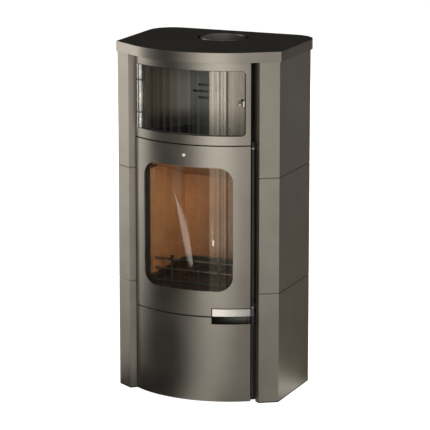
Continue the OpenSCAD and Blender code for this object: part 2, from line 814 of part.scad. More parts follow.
module ash_runners() {
    for (sx = [-1, 1]) color(ZINC) translate([opening_x, ash_front_y + 10, ash_z - 2 - touch])
        mirror([sx < 0 ? 1 : 0, 0, 0]) {
            translate([ash_w / 2 + 1, 0, 0]) cube([2, ash_d - 20, air_box_z - ash_z + 2 + touch]);
            translate([ash_w / 2 - 11, 0, 0]) cube([13, ash_d - 20, 2]);
        }
}

module bin_plan(m) {
    bin_w = log_w + 4;
    intersection() {
        translate([0, front_cy]) circle(r = frame_in_r - 0.1, $fn = curve_fn);
        translate([opening_x - bin_w / 2 + m, -half_d]) square([bin_w - 2 * m, half_d + log_back_y - m]);
    }
}

module log_bin() {
    color(INNER) difference() {
        translate([0, 0, base_top]) linear_extrude(bin_top_z - base_top) bin_plan(0);
        translate([0, 0, log_z - 4]) linear_extrude(bin_top_z) bin_plan(bin_t);
        translate([0, 0, base_top - eps]) linear_extrude(log_z - 4 - bin_t - base_top + eps) bin_plan(bin_t);
    }
}

// Flue and top plate

module flue_spigot() {
    color(INNER) translate([0, flue_y, fire_top_z]) rotate_extrude() {
        translate([flue_d / 2 - flue_t, 0]) square([flue_t, total_h - fire_top_z]);
        translate([flue_d / 2, 0]) square([6, 4]);
    }
}

top_screw_places = [[half_w - screw_inset, flue_y - 25], [half_w - screw_inset, flue_y + 75]];
module top_plate() {
    color(TOP) difference() {
        translate([0, 0, rim_z]) linear_extrude(rim_h) top_outline(0);
        translate([0, 0, rim_z - eps]) linear_extrude(rim_h - top_t + eps) top_outline(rim_t);
        post(0, flue_y, flue_d / 2 + flue_gap, total_h - top_t - eps, total_h + eps);
        for (sx = [-1, 1], p = top_screw_places) {
            post(sx * p[0], p[1], 3.1, total_h - top_t - eps, total_h + eps);
            post(sx * p[0], p[1], 6.1, total_h - 2, total_h + eps);
        }
    }
}

// Tabs on the casing that take the screws of the top plate
module top_brackets() {
    under = total_h - top_t;
    color(ZINC) for (sx = [-1, 1], p = top_screw_places) difference() {
        translate([0, 0, under - 6]) linear_extrude(6) intersection() {
            translate([sx > 0 ? p[0] - 12 : -half_w, p[1] - 10]) square([half_w - p[0] + 12, 20]);
            case_inner_plan();
        }
        post(sx * p[0], p[1], 3, under - 7, total_h);
    }
}

module top_screws() {
    color(ZINC) for (sx = [-1, 1], p = top_screw_places) {
        post(sx * p[0], p[1], 3, total_h - top_t - 8, total_h - 1);
        post(sx * p[0], p[1], 6, total_h - 2, total_h);
    }
}

// Stone cladding

stone_points = [
    [chamfer_x, chamfer_y], [chamfer_x, flange_y], [stone_in_x, flange_y],
    [stone_in_x, stone_back_y], [stone_x, stone_back_y], [stone_x, corner_y], [facet_x, facet_y]
];
// How much smaller the bevels beside the facet are, so that no corner runs into a single point
bevel_step = 0.2;
dowel_places = [[stone_x - stone_t / 2, stone_back_y - 40], [stone_x - stone_t / 2, corner_y + 60]];

module stone(side, z0, z1, low_bevel, high_bevel, low_dowel, high_dowel) {
    color(STONE) mirror([side < 0 ? 1 : 0, 0, 0]) difference() {
        translate([0, 0, z0]) linear_extrude(z1 - z0) polygon(stone_points);
        for (i = [4, 5, 6]) {
            p = stone_points[i];
            q = stone_points[(i + 1) % 7];
            cut = i == 5 ? bevel : bevel - bevel_step;
            if (low_bevel) edge_cut(p, q, z0, cut, -1);
            if (high_bevel) edge_cut(p, q, z1, cut, 1);
        }
        for (p = dowel_places) {
            if (low_dowel) post(p[0], p[1], dowel_r + pin_clear, z0 - eps, z0 + dowel_l / 2 + 0.5);
            if (high_dowel) post(p[0], p[1], dowel_r + pin_clear, z1 - dowel_l / 2 - 0.5, z1 + eps);
        }
    }
}

module stone_dowels() {
    color(ZINC) for (sx = [-1, 1], p = dowel_places, z = [joint_low_z, joint_high_z])
        post(sx * p[0], p[1], dowel_r, z - dowel_l / 2, z + dowel_l / 2);
}

// Fixed front of the warming compartment

module compartment_frame() {
    left = comp_win_left_x - comp_left_margin;
    color(STEEL) difference() {
        union() {
            curved(skin_in_r, front_r, left, door_right_x, comp_bottom, comp_top);
            difference() {
                curved(frame_r, skin_in_r + eps, left, door_right_x, comp_bottom, comp_top);
                curved(frame_r - eps, skin_in_r + 2 * eps, left + 3, door_right_x - 3, comp_bottom + 3, comp_top - 3);
            }
            intersection() {
                curved(frame_r, skin_in_r + eps, left, door_right_x, comp_bottom, comp_top);
                window_cut(comp_win_x, comp_win_z - 3, comp_win_w + 6, comp_win_h + 6, comp_win_r + 3);
            }
        }
        window_cut(comp_win_x, comp_win_z, comp_win_w, comp_win_h, comp_win_r);
    }
}

liner_mouth_y = curve_y(frame_in_r - 0.2, liner_mouth_w / 2 + abs(opening_x));
module liner_plan(m) {
    polygon([
        [opening_x - liner_mouth_w / 2 - m, -half_d], [opening_x - liner_mouth_w / 2 - m, liner_mouth_y],
        [opening_x - liner_back_w / 2 - m * 0.6, liner_back_y + m], [opening_x + liner_back_w / 2 + m * 0.6, liner_back_y + m],
        [opening_x + liner_mouth_w / 2 + m, liner_mouth_y], [opening_x + liner_mouth_w / 2 + m, -half_d]
    ]);
}

module compartment_liner() {
    middle_z = comp_win_z + comp_win_h / 2;
    color(INNER) difference() {
        intersection() {
            translate([0, 0, liner_floor]) linear_extrude(liner_top - liner_floor) liner_plan(liner_t);
            translate([0, front_cy, 0]) cylinder(r = frame_in_r - 0.1, h = total_h, $fn = curve_fn);
        }
        translate([0, 0, liner_floor + liner_t]) linear_extrude(liner_top - liner_floor - 2 * liner_t) liner_plan(0);
        for (i = [-1, 0, 1])
            translate([opening_x, liner_back_y + liner_t + eps, middle_z + i * slot_step]) rotate([90, 0, 0])
                linear_extrude(liner_t + 2 * eps) round_rect(slot_l - abs(i) * slot_cut, slot_h, slot_h / 2 - 0.05);
    }
}

module glass_hinge_knuckles() {
    color(BRIGHT) intersection() {
        window_cut(comp_win_x, comp_win_z, comp_win_w, comp_win_h, comp_win_r);
        difference() {
            union() {
                post(tube_x, tube_y, tube_r, comp_win_z - eps, sleeve_z - 1);
                post(tube_x, tube_y, tube_r, sleeve_z + sleeve_l + 1, comp_win_top + eps);
            }
            post(tube_x, tube_y, tube_pin_r, comp_win_z - 2 * eps, comp_win_top + 2 * eps);
        }
    }
}

module glass_hinge_pin() {
    color(ZINC) post(tube_x, tube_y, tube_pin_r, comp_win_z + 4, comp_win_top - 4);
}

slot_in = 3;
grip_part = 8;
module compartment_glass() {
    color(GLASS) difference() {
        intersection() {
            curved(glass_in_r, glass_out_r, tube_x + tube_r - slot_in, glass_right_x, comp_win_z, comp_win_top);
            window_cut(comp_win_x, comp_win_z + 2, comp_win_w - 4, comp_win_h - 4, comp_win_r - 2);
        }
        translate([tube_x, -half_d, comp_win_z]) cube([glass_left_x - tube_x, half_d, sleeve_z + grip_part - comp_win_z]);
        translate([tube_x, -half_d, sleeve_z + sleeve_l - grip_part])
            cube([glass_left_x - tube_x, half_d, comp_win_top - sleeve_z]);
        on_glass(knob_x, knob_z) rotate([90, 0, 0]) cylinder(r = 3.2, h = 20, center = true, $fn = 32);
    }
}

module glass_hinge_sleeve() {
    color(BRIGHT) difference() {
        post(tube_x, tube_y, tube_r, sleeve_z, sleeve_z + sleeve_l);
        post(tube_x, tube_y, tube_pin_r + pin_clear, sleeve_z - eps, sleeve_z + sleeve_l + eps);
        curved(
            glass_in_r - 0.1, glass_out_r + 0.1, tube_x + tube_r - slot_in - 0.2, tube_x + tube_r + 1,
            sleeve_z + grip_part, sleeve_z + sleeve_l - grip_part
        );
    }
}

// Places something on the compartment glass, with its own -Y pointing out of the glass
module on_glass(x, z) {
    translate([x, curve_y(glass_out_r, x), z]) rotate([0, 0, asin(x / glass_out_r)]) children();
}

module knob_clamp() {
    color(BRIGHT) on_glass(knob_x, knob_z) difference() {
        union() {
            translate([-15, -2.1, -8]) cube([21, 2, 16]);
            translate([-10, -2, -5]) rotate([90, 0, 0]) cylinder(r = 4, h = 3, $fn = 32);
            translate([-6, comp_glass_t + 0.3, -7]) cube([12, 2, 14]);
        }
        translate([0, 5, 0]) rotate([90, 0, 0]) cylinder(r = 3, h = 30, center = true, $fn = 32);
    }
}

module glass_knob() {
    color(BRIGHT) on_glass(knob_x, knob_z) {
        translate([0, comp_glass_t + 2, 0]) rotate([90, 0, 0]) cylinder(r = 3, h = comp_glass_t + 16, $fn = 32);
        translate([0, -10 - knob_w / 2, -knob_l / 2]) cylinder(r = knob_w / 2, h = knob_l, $fn = 32);
    }
}

// Fire door

module door_hinge_lug(z0) {
    lean = 35;
    translate([0, 0, z0]) linear_extrude(lug_t) difference() {
        translate([hinge_x, hinge_y]) {
            circle(r = hinge_pin_r + 1.7);
            rotate(lean) translate([0, -hinge_pin_r - 1]) square([40, 2 * hinge_pin_r + 2]);
        }
        translate([0, front_cy]) circle(r = frame_r, $fn = curve_fn);
        translate([hinge_x, hinge_y]) circle(r = hinge_pin_r);
    }
}

lug_levels = [
    log_frame_z - lug_t - 1, log_frame_top + 1,
    fire_frame_z - lug_t - 1, fire_frame_top + 1
];

module door_hinge_lugs() {
    color(STEEL) for (z = lug_levels) door_hinge_lug(z);
}

pin_reach = 14;
module door_hinge_pins() {
    color(ZINC) for (i = [0 : 3]) {
        z = lug_levels[i];
        up = i % 2 == 0;
        post(hinge_x, hinge_y, hinge_pin_r, up ? z : z - pin_reach, up ? z + lug_t + pin_reach : z + lug_t);
    }
}

module fire_door_skin() {
    color(STEEL) difference() {
        curved(skin_in_r, front_r, door_left_x, door_right_x, fire_door_bottom, fire_door_top);
        window_cut(opening_x, fire_win_z, fire_win_w, fire_win_h, fire_win_r);
        translate([notch_left, -half_d, fire_door_bottom - eps])
            cube([half_w, half_d, notch_top - fire_door_bottom + eps]);
        post_stud(stud_r - 2);
    }
}

module post_stud(r) {
    translate([opening_x, curve_y(front_r, opening_x) - eps * 3, stud_z]) rotate([-90, 0, 0])
        cylinder(r = r, h = skin_t + 6, $fn = 32);
}

module door_stud() {
    color(BRIGHT) translate([opening_x, curve_y(front_r, opening_x) - 0.3, stud_z]) rotate([90, 0, 0])
        rotate_extrude() {
            intersection() {
                translate([0, 0]) circle(r = stud_r);
                square([stud_r, stud_r]);
            }
            translate([0, -skin_t + 0.2]) square([stud_r - 2.1, skin_t]);
        }
}

module fire_door_frame() {
    pocket = glass_margin + 1;
    color(INNER) difference() {
        union() {
            curved(stiffener_in_r, skin_in_r - 0.1, frame_left_x, frame_right_x, fire_frame_z, fire_frame_top);
            for (z = [fire_frame_z + 4, fire_frame_top - 14]) bar_lug(z, z + 10);
        }
        window_cut(opening_x, fire_win_z - pocket, fire_win_w + 2 * pocket, fire_win_h + 2 * pocket, fire_win_r);
        post(hinge_x, hinge_y, hinge_pin_r + pin_clear, fire_frame_z - eps, fire_frame_z + pin_reach + 1);
        post(hinge_x, hinge_y, hinge_pin_r + pin_clear, fire_frame_top - pin_reach - 1, fire_frame_top + eps);
    }
}

// Eye on the right edge of the door frame that carries the upright bar
module bar_lug(z0, z1) {
    difference() {
        union() {
            post(bar_x, bar_y, bar_r + eye_wall, z0, z1);
            translate([frame_right_x - 8, bar_y + 1.3, z0]) cube([bar_x - frame_right_x + 8, 7, z1 - z0]);
        }
        post(bar_x, bar_y, bar_r + pin_clear, z0 - eps, z1 + eps);
    }
}

module fire_glass() {
    m = glass_margin;
    color(FIRE_GLASS) intersection() {
        curved(fire_glass_r0, fire_glass_r1, -half_w, half_w, 0, total_h);
        window_cut(opening_x, fire_win_z - m, fire_win_w + 2 * m, fire_win_h + 2 * m, fire_win_r - 1);
    }
}

// Clips on the edge of the pocket that press the glass against the skin
clip_l = 24;
clip_w = 8;
clip_from_bend = 22;
clip_high = fire_win_h / 2 - fire_win_r - clip_l / 2 - clip_from_bend;
clip_side = fire_win_w / 2 - fire_win_r - clip_l / 2 - clip_from_bend;
module glass_clips() {
    pocket = glass_margin + 1;
    edge_x = fire_win_w / 2 + pocket;
    edge_z = fire_win_h / 2 + pocket;
    mid_z = fire_win_z + fire_win_h / 2;
    color(ZINC) {
        for (sx = [-1, 1], i = [-1, 1]) {
            x0 = opening_x + (sx < 0 ? -edge_x : edge_x - clip_w);
            z0 = mid_z + i * clip_high - clip_l / 2;
            curved(stiffener_in_r, fire_glass_r0 - 0.2, x0, x0 + clip_w, z0, z0 + clip_l);
        }
        for (sz = [-1, 1], i = [-1, 1]) {
            x0 = opening_x + i * clip_side - clip_l / 2;
            z0 = mid_z + (sz < 0 ? -edge_z : edge_z - clip_w);
            curved(stiffener_in_r, fire_glass_r0 - 0.2, x0, x0 + clip_l, z0, z0 + clip_w);
        }
    }
}

rope_gap = 0.8;
module door_rope() {
    color(ROPE) difference() {
        intersection() {
            curved(frame_r + rope_gap, stiffener_in_r, -half_w, half_w, 0, total_h);
            window_cut(opening_x, fire_win_z - seal_out, fire_win_w + 2 * seal_out, fire_win_h + 2 * seal_out, fire_win_r);
        }
        window_cut(opening_x, fire_win_z - seal_in, fire_win_w + 2 * seal_in, fire_win_h + 2 * seal_in, fire_win_r - rope_w);
    }
}

module handle_bar() {
    color(STEEL) post(bar_x, bar_y, bar_r, seam_low_z - bar_under, seam_high_z + bar_over);
}

module handle_grip() {
    color(BRIGHT) difference() {
        union() {
            curved(front_r + grip_proud - grip_t, front_r + grip_proud, grip_left_x, bar_x, grip_z, grip_z + grip_h);
            post(bar_x, bar_y, bar_r + eye_wall, grip_z, grip_z + grip_h);
        }
        post(bar_x, bar_y, bar_r, grip_z - eps, grip_z + grip_h + eps);
    }
}

// Two short arms on the bar that point back at the rollers of the keepers
hook_t = 5.5;
hook_levels = [fire_frame_z - 1 - hook_t, fire_frame_top + 2];
hook_reach = 18;
module latch_hooks() {
    color(ZINC) for (z = hook_levels) difference() {
        union() {
            post(bar_x, bar_y, bar_r + eye_wall, z, z + hook_t);
            translate([bar_x - 3.5, bar_y, z]) cube([7, hook_reach, hook_t]);
        }
        post(bar_x, bar_y, bar_r, z - eps, z + hook_t + eps);
    }
}

// Brackets on the front frame with a roller between two plates
roller_r = 4.5;
module latch_keepers() {
    roller_y = bar_y + hook_reach + 1.5 + roller_r;
    for (z = hook_levels) color(ZINC) {
        post(bar_x, roller_y, roller_r, z, z + hook_t);
        for (plate_z = [z - 2, z + hook_t]) difference() {
            translate([bar_x - 5, roller_y - 3, plate_z]) cube([10, 20, 2]);
            translate([0, front_cy, 0]) cylinder(r = frame_r, h = total_h, $fn = curve_fn);
        }
    }
}

// Log door

module log_door_skin() {
    color(STEEL) difference() {
        curved(skin_in_r, front_r, door_left_x, door_right_x, door_floor_gap, log_door_top);
        translate([notch_left, -half_d, log_door_top - recess_h]) cube([half_w, half_d, recess_h + eps]);
    }
}

module log_door_frame() {
    color(INNER) difference() {
        curved(stiffener_in_r, skin_in_r - 0.1, frame_left_x, frame_right_x, log_frame_z, log_frame_top);
        window_cut(opening_x, log_frame_z + 22, frame_right_x - frame_left_x - 60, log_frame_top - log_frame_z - 44, 10);
        post(hinge_x, hinge_y, hinge_pin_r + pin_clear, log_frame_z - eps, log_frame_z + pin_reach + 1);
        post(hinge_x, hinge_y, hinge_pin_r + pin_clear, log_frame_top - pin_reach - 1, log_frame_top + eps);
    }
}

module finger_recess() {
    color(INNER) difference() {
        curved(stiffener_in_r, skin_in_r - 0.1, notch_left - 8, frame_right_x, log_frame_top + 0.1, log_door_top);
        curved(stiffener_in_r + 2, front_r, notch_left - 6, frame_right_x - 2, log_door_top - recess_h, log_door_top + eps);
    }
}

// Magnet on the front frame and the plate on the log door that it holds
catch_x = opening_x + log_w / 2 + 5;
catch_z = (log_z + log_top_z) / 2;
catch_face = stiffener_in_r - 2.5;
module magnet_catch() {
    color(INNER) curved(frame_r, catch_face, catch_x, catch_x + 14, catch_z - 20, catch_z + 20);
}

module catch_plate() {
    color(ZINC) curved(catch_face + 0.5, stiffener_in_r - 0.1, catch_x - 3, catch_x + 14, catch_z - 24, catch_z + 24);
}

base_plate();
levelling_feet();
casing();
rear_panel();
rear_panel_screws();
air_inlet_pipe();
front_frame();
firebox();
lining_back();
lining_left();
lining_right();
fire_floor();
baffle();
grate();
air_box();
air_slide_guides();
ash_pan();
ash_runners();
log_guard();
log_bin();
flue_spigot();
top_plate();
top_brackets();
top_screws();
stone(-1, base_top, joint_low_z, false, true, false, true);  // stone_left_lower
stone(-1, joint_low_z, joint_high_z, true, true, true, true);  // stone_left_middle
stone(-1, joint_high_z, rim_z, true, false, true, false);  // stone_left_upper
stone(1, base_top, joint_low_z, false, true, false, true);  // stone_right_lower
stone(1, joint_low_z, joint_high_z, true, true, true, true);  // stone_right_middle
stone(1, joint_high_z, rim_z, true, false, true, false);  // stone_right_upper
stone_dowels();
compartment_frame();
compartment_liner();
glass_hinge_knuckles();
glass_hinge_pin();
door_hinge_lugs();
door_hinge_pins();
latch_keepers();
magnet_catch();
fire_door_skin();
fire_door_frame();
fire_glass();
glass_clips();
door_rope();
door_stud();
handle_bar();
handle_grip();
latch_hooks();
log_door_skin();
log_door_frame();
finger_recess();
catch_plate();
compartment_glass();
glass_hinge_sleeve();
knob_clamp();
glass_knob();
air_slide();
air_knob();
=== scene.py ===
"""Looks of the stone-clad wood-burning stove: finishes, eased edges, small fittings, light and camera."""

import json
import math

import bpy
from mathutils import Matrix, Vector

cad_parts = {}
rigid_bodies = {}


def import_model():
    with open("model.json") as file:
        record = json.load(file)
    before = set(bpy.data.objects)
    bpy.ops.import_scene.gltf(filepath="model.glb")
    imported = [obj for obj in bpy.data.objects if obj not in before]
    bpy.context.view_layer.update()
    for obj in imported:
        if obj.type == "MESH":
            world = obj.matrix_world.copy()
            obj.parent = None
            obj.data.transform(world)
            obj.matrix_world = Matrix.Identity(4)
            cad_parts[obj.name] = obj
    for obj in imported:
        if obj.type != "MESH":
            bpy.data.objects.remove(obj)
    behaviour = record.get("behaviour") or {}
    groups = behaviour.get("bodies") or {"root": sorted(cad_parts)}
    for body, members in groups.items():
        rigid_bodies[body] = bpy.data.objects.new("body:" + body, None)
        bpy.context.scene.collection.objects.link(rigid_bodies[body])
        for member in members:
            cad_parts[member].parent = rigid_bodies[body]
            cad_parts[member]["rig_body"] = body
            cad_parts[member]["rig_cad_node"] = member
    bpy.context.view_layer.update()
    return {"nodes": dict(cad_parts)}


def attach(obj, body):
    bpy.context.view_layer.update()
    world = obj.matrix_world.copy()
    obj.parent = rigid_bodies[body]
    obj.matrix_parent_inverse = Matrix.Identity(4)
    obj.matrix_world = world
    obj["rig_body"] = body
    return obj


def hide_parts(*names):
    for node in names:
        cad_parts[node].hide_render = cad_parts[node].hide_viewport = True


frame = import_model()
nodes = frame["nodes"]
scene = bpy.context.scene


# Camera, where it stood for the photo

CAMERA_LENS = 217.8
CAMERA_SENSOR = 36.0
CAMERA_AT = (3.2194, -7.6478, 2.4501)
CAMERA_TILT = math.radians(77.27)
CAMERA_TURN = math.radians(22.75)


def set_camera():
    eye = bpy.data.cameras.new("stove_camera")
    eye.lens = CAMERA_LENS
    eye.sensor_width = CAMERA_SENSOR
    holder = bpy.data.objects.new("stove_camera", eye)
    holder.location = CAMERA_AT
    holder.rotation_euler = (CAMERA_TILT, 0.0, CAMERA_TURN)
    scene.collection.objects.link(holder)
    scene.camera = holder


# Shader nodes

def link(tree, source, target):
    tree.links.new(source, target)


def new_node(tree, kind, inputs=None, **settings):
    """Adds a node, sets its own settings, and fills or links its inputs."""
    made = tree.nodes.new(kind)
    for name, value in settings.items():
        setattr(made, name, value)
    for name, value in (inputs or {}).items():
        if isinstance(value, bpy.types.NodeSocket):
            link(tree, value, made.inputs[name])
        else:
            made.inputs[name].default_value = value
    return made


def calc(tree, operation, first, second=0.0, third=0.0):
    return new_node(tree, "ShaderNodeMath", {0: first, 1: second, 2: third}, operation=operation).outputs[0]


def product(tree, *values):
    """The values multiplied with each other, from left to right."""
    total = values[0]
    for value in values[1:]:
        total = calc(tree, "MULTIPLY", total, value)
    return total


def rest_of(tree, share):
    """What a share leaves of the whole."""
    return calc(tree, "SUBTRACT", 1.0, share)


def blended(tree, first, share, second):
    """A share of one pattern and the rest of another."""
    return calc(tree, "MULTIPLY_ADD", first, share, calc(tree, "MULTIPLY", second, 1.0 - share))


def ease_between(tree, value, low, high, out_low=0.0, out_high=1.0):
    made = new_node(tree, "ShaderNodeMapRange", {
        "Value": value,
        "From Min": low,
        "From Max": high,
        "To Min": out_low,
        "To Max": out_high,
    }, interpolation_type="SMOOTHSTEP")
    return made.outputs["Result"]


def even_share(tree, value, start, end):
    """How far a value has come from start to end, without easing."""
    made = new_node(tree, "ShaderNodeMapRange", {"Value": value, "From Min": start, "From Max": end})
    return made.outputs["Result"]


def ramp(tree, value, stops):
    made = new_node(tree, "ShaderNodeValToRGB", {"Fac": value})
    points = made.color_ramp.elements
    while len(points) < len(stops):
        points.new(0.5)
    for point, (place, tone) in zip(points, stops):
        point.position = place
        point.color = (*tone, 1.0)
    return made.outputs["Color"]


def scaled(tree, tone, level):
    """A colour made lighter or darker by one level."""
    return new_node(tree, "ShaderNodeVectorMath", {0: tone, "Scale": level}, operation="SCALE").outputs[0]


def mixed(tree, share, first, second):
    """Two shaders mixed: the first where the share is 0, the second where it is 1."""
    return new_node(tree, "ShaderNodeMixShader", {"Fac": share, 1: first, 2: second}).outputs[0]


def axis_of(tree, place, axis):
    """The X, Y or Z of a place or of a direction."""
    return new_node(tree, "ShaderNodeSeparateXYZ", {"Vector": place}).outputs[axis]


def noise(tree, place, scale, detail=2.0, rough=0.5):
    made = new_node(tree, "ShaderNodeTexNoise", {
        "Vector": place,
        "Scale": scale,
        "Detail": detail,
        "Roughness": rough,
    })
    return made.outputs["Fac"]


def compass_place(tree, place):
    """The compass angle of a direction or a place, in degrees, and as a share of the full turn."""
    back = calc(tree, "MULTIPLY", axis_of(tree, place, "Y"), -1.0)
    compass = calc(tree, "ARCTAN2", axis_of(tree, place, "X"), back)
    degrees = calc(tree, "MULTIPLY", compass, 180.0 / math.pi)
    return degrees, calc(tree, "MULTIPLY_ADD", degrees, 1.0 / 360.0, 0.5)


# Light around the stove, by the compass angle it comes from: 0 is straight in front, + is to the right.
# Each row has the angle, the level, how much of it is lost near the ground, and its tint.
STUDIO_LIGHT = [
    (-180, 0.34, 0.00, "warm"),
    (-140, 0.34, 0.00, "warm"),
    (-118, 0.60, 0.40, "warm"),
    (-104, 1.38, 0.96, "warm"),
    (-90, 1.35, 0.96, "warm"),
    (-83, 1.90, 0.96, "warm"),
    (-77, 0.70, 0.90, "warm"),
    (-70, 0.13, 0.80, "cool"),
    (-58, 0.04, 0.45, "cool"),
    (-44, 0.020, 0.40, "cool"),
    (-32, 0.055, 0.60, "cool"),
    (-20, 0.17, 0.85, "warm"),
    (-10, 0.56, 0.92, "warm"),
    (0, 1.08, 0.94, "warm"),
    (10, 1.34, 0.94, "warm"),
    (19, 1.22, 0.94, "warm"),
    (27, 0.86, 0.92, "warm"),
    (36, 0.52, 0.92, "warm"),
    (46, 0.46, 0.92, "warm"),
    (60, 0.82, 0.85, "warm"),
    (75, 0.90, 0.60, "warm"),
    (105, 0.50, 0.20, "warm"),
    (125, 0.08, 0.00, "warm"),
    (157, 0.08, 0.00, "brown"),
    (180, 0.34, 0.00, "warm"),
]
TINTS = {"warm": (1.0, 0.955, 0.885), "cool": (0.98, 0.985, 0.96), "brown": (1.0, 0.88, 0.76)}


def share_of_turn(angle):
    """A compass angle as a share of the full turn, which starts straight behind the stove."""
    return angle / 360.0 + 0.5


def light_ring(tree, turn):
    tones = []
    for angle, level, _, tint in STUDIO_LIGHT:
        tones.append((share_of_turn(angle), [part * level for part in TINTS[tint]]))
    return ramp(tree, turn, tones)


# In the four functions below, an angle is a compass angle in degrees, and a height is the sine of the angle
# over the level. An easing has its start and its end, and then, where they are not 0 and 1, the levels there.

def studio_glow(tree, degrees, turn, height, rays):
    """The even light of the studio. It fades towards the ground and high up, and it is dark behind the stove.
    Sharp reflections see only a quarter of it."""
    losses = [(share_of_turn(angle), (loss, loss, loss)) for angle, _, loss, _ in STUDIO_LIGHT]
    lost_low = calc(tree, "MULTIPLY", ramp(tree, turn, losses), ease_between(tree, height, -0.19, -0.28))
    behind = ease_between(tree, calc(tree, "ABSOLUTE", degrees), 92.0, 120.0)
    lost_behind = product(tree, behind, ease_between(tree, height, -0.06, 0.06), 0.92)
    kept_high = ease_between(tree, height, 0.30, 0.80, 1.0, 0.12)
    lost_sharp = calc(tree, "MULTIPLY", rays.outputs["Is Singular Ray"], 0.75)
    kept_sharp = rest_of(tree, lost_sharp)
    kept = product(tree, rest_of(tree, lost_low), rest_of(tree, lost_behind), kept_high, kept_sharp)
    return scaled(tree, light_ring(tree, turn), kept)


def uneven_around(tree, degrees, shift, scale):
    """A pattern that changes only with the compass angle, so that it stands in upright bands."""
    along = new_node(tree, "ShaderNodeCombineXYZ", {"X": calc(tree, "ADD", degrees, shift)})
    return noise(tree, along.outputs[0], scale, 1.0)


def soft_box_light(tree, degrees, height):
    """A tall soft box with an uneven diffuser and a paler strip beside it, mirrored in the panes."""
    tint = (1.0, 0.86, 0.67)
    strength = 3.2
    foot = (math.sin(math.radians(-11.1)), math.sin(math.radians(-10.1)), 0.25, 1.0)
    brighter_low = (-0.2060, -0.1990, 1.4, 1.0)
    dark_below = (-0.2400, -0.2310, 0.20, 1.0)
    top = (-0.150, -0.140, 1.0, 0.0)
    left_side = ease_between(tree, degrees, 0.3, 1.6)
    right_side = ease_between(tree, degrees, 18.2, 19.4, 1.0, 0.14)
    diffuser = ease_between(tree, uneven_around(tree, degrees, 5.5, 0.36), 0.34, 0.60, 0.45, 1.60)
    strip_start = ease_between(tree, degrees, 21.0, 22.2)
    strip_level = ease_between(tree, degrees, 25.0, 33.0, 0.84, 0.50)
    strip_end = ease_between(tree, degrees, 37.0, 42.0, 1.0, 0.1)
    strip = product(tree, strip_start, strip_level, strip_end)
    level = calc(tree, "MULTIPLY_ADD", product(tree, left_side, right_side), diffuser, strip)
    for heights in (foot, brighter_low, dark_below, top):
        level = calc(tree, "MULTIPLY", level, ease_between(tree, height, *heights))
    return scaled(tree, tint, calc(tree, "MULTIPLY", level, strength))


def spot_light(tree, degrees, height):
    """A small spot with a thin line of light over it."""
    tint = (1.0, 0.93, 0.82)
    spot_angle, spot_half_width = 5.4, 1.5
    spot_height, spot_half_height = -0.2309, 0.0015
    line_angle = 3.9
    across = calc(tree, "DIVIDE", calc(tree, "SUBTRACT", degrees, spot_angle), spot_half_width)
    up = calc(tree, "DIVIDE", calc(tree, "SUBTRACT", height, spot_height), spot_half_height)
    off_spot = calc(tree, "ADD", product(tree, across, across), product(tree, up, up))
    spot = ease_between(tree, off_spot, 0.1, 1.0, 8.0, 0.0)
    off_line = calc(tree, "ABSOLUTE", calc(tree, "SUBTRACT", degrees, line_angle))
    line_foot = ease_between(tree, height, -0.2312, -0.2294)
    line_end = ease_between(tree, height, -0.2270, -0.2220, 1.2, 0.0)
    line = product(tree, line_foot, line_end)
    level = calc(tree, "MULTIPLY_ADD", ease_between(tree, off_line, 0.3, 1.0, 1.0, 0.0), line, spot)
    return scaled(tree, tint, level)


def streak_light(tree, degrees, height):
    """A slanting streak, thickest two thirds of the way along, with a pale patch and faint upright bands."""
    tint = (1.0, 0.97, 0.92)
    start, end = -41.0, -17.0
    start_height, slant = -0.2098, -0.0292
    thinnest, swell = 0.00003, 0.050
    strength = 2.1
    share = even_share(tree, degrees, start, end)
    middle = calc(tree, "MULTIPLY_ADD", share, slant, start_height)
    off_middle = calc(tree, "ABSOLUTE", calc(tree, "SUBTRACT", height, middle))
    swollen = product(tree, share, share, rest_of(tree, share))
    thick = calc(tree, "MULTIPLY_ADD", swollen, swell, thinnest)
    inside = ease_between(tree, calc(tree, "DIVIDE", off_middle, thick), 0.4, 1.1, 1.0, 0.0)
    streak_start = ease_between(tree, degrees, start, -39.0)
    streak_end = ease_between(tree, degrees, -18.5, end, 1.0, 0.0)
    streak = product(tree, inside, strength, product(tree, streak_start, streak_end))
    patch_start = ease_between(tree, degrees, -44.0, -39.0)
    patch_end = ease_between(tree, degrees, -32.0, -26.0, 1.0, 0.0)
    patch_foot = ease_between(tree, height, -0.2200, -0.2080, 0.0, 0.26)
    patch_top = ease_between(tree, height, -0.2010, -0.1960, 1.0, 0.15)
    patch = product(tree, patch_start, patch_end, patch_foot, patch_top)
    uneven = ease_between(tree, uneven_around(tree, degrees, 0.0, 0.22), 0.46, 0.66, 0.0, 0.22)
    bands_start = ease_between(tree, degrees, -84.0, -74.0)
    bands_end = ease_between(tree, degrees, -10.0, -2.0, 1.0, 0.0)
    bands = product(tree, uneven, bands_start, bands_end)
    bands_fade = ease_between(tree, height, -0.2300, -0.1900, 0.35, 1.0)
    level = calc(tree, "MULTIPLY_ADD", bands, bands_fade, calc(tree, "ADD", streak, patch))
    return scaled(tree, tint, level)


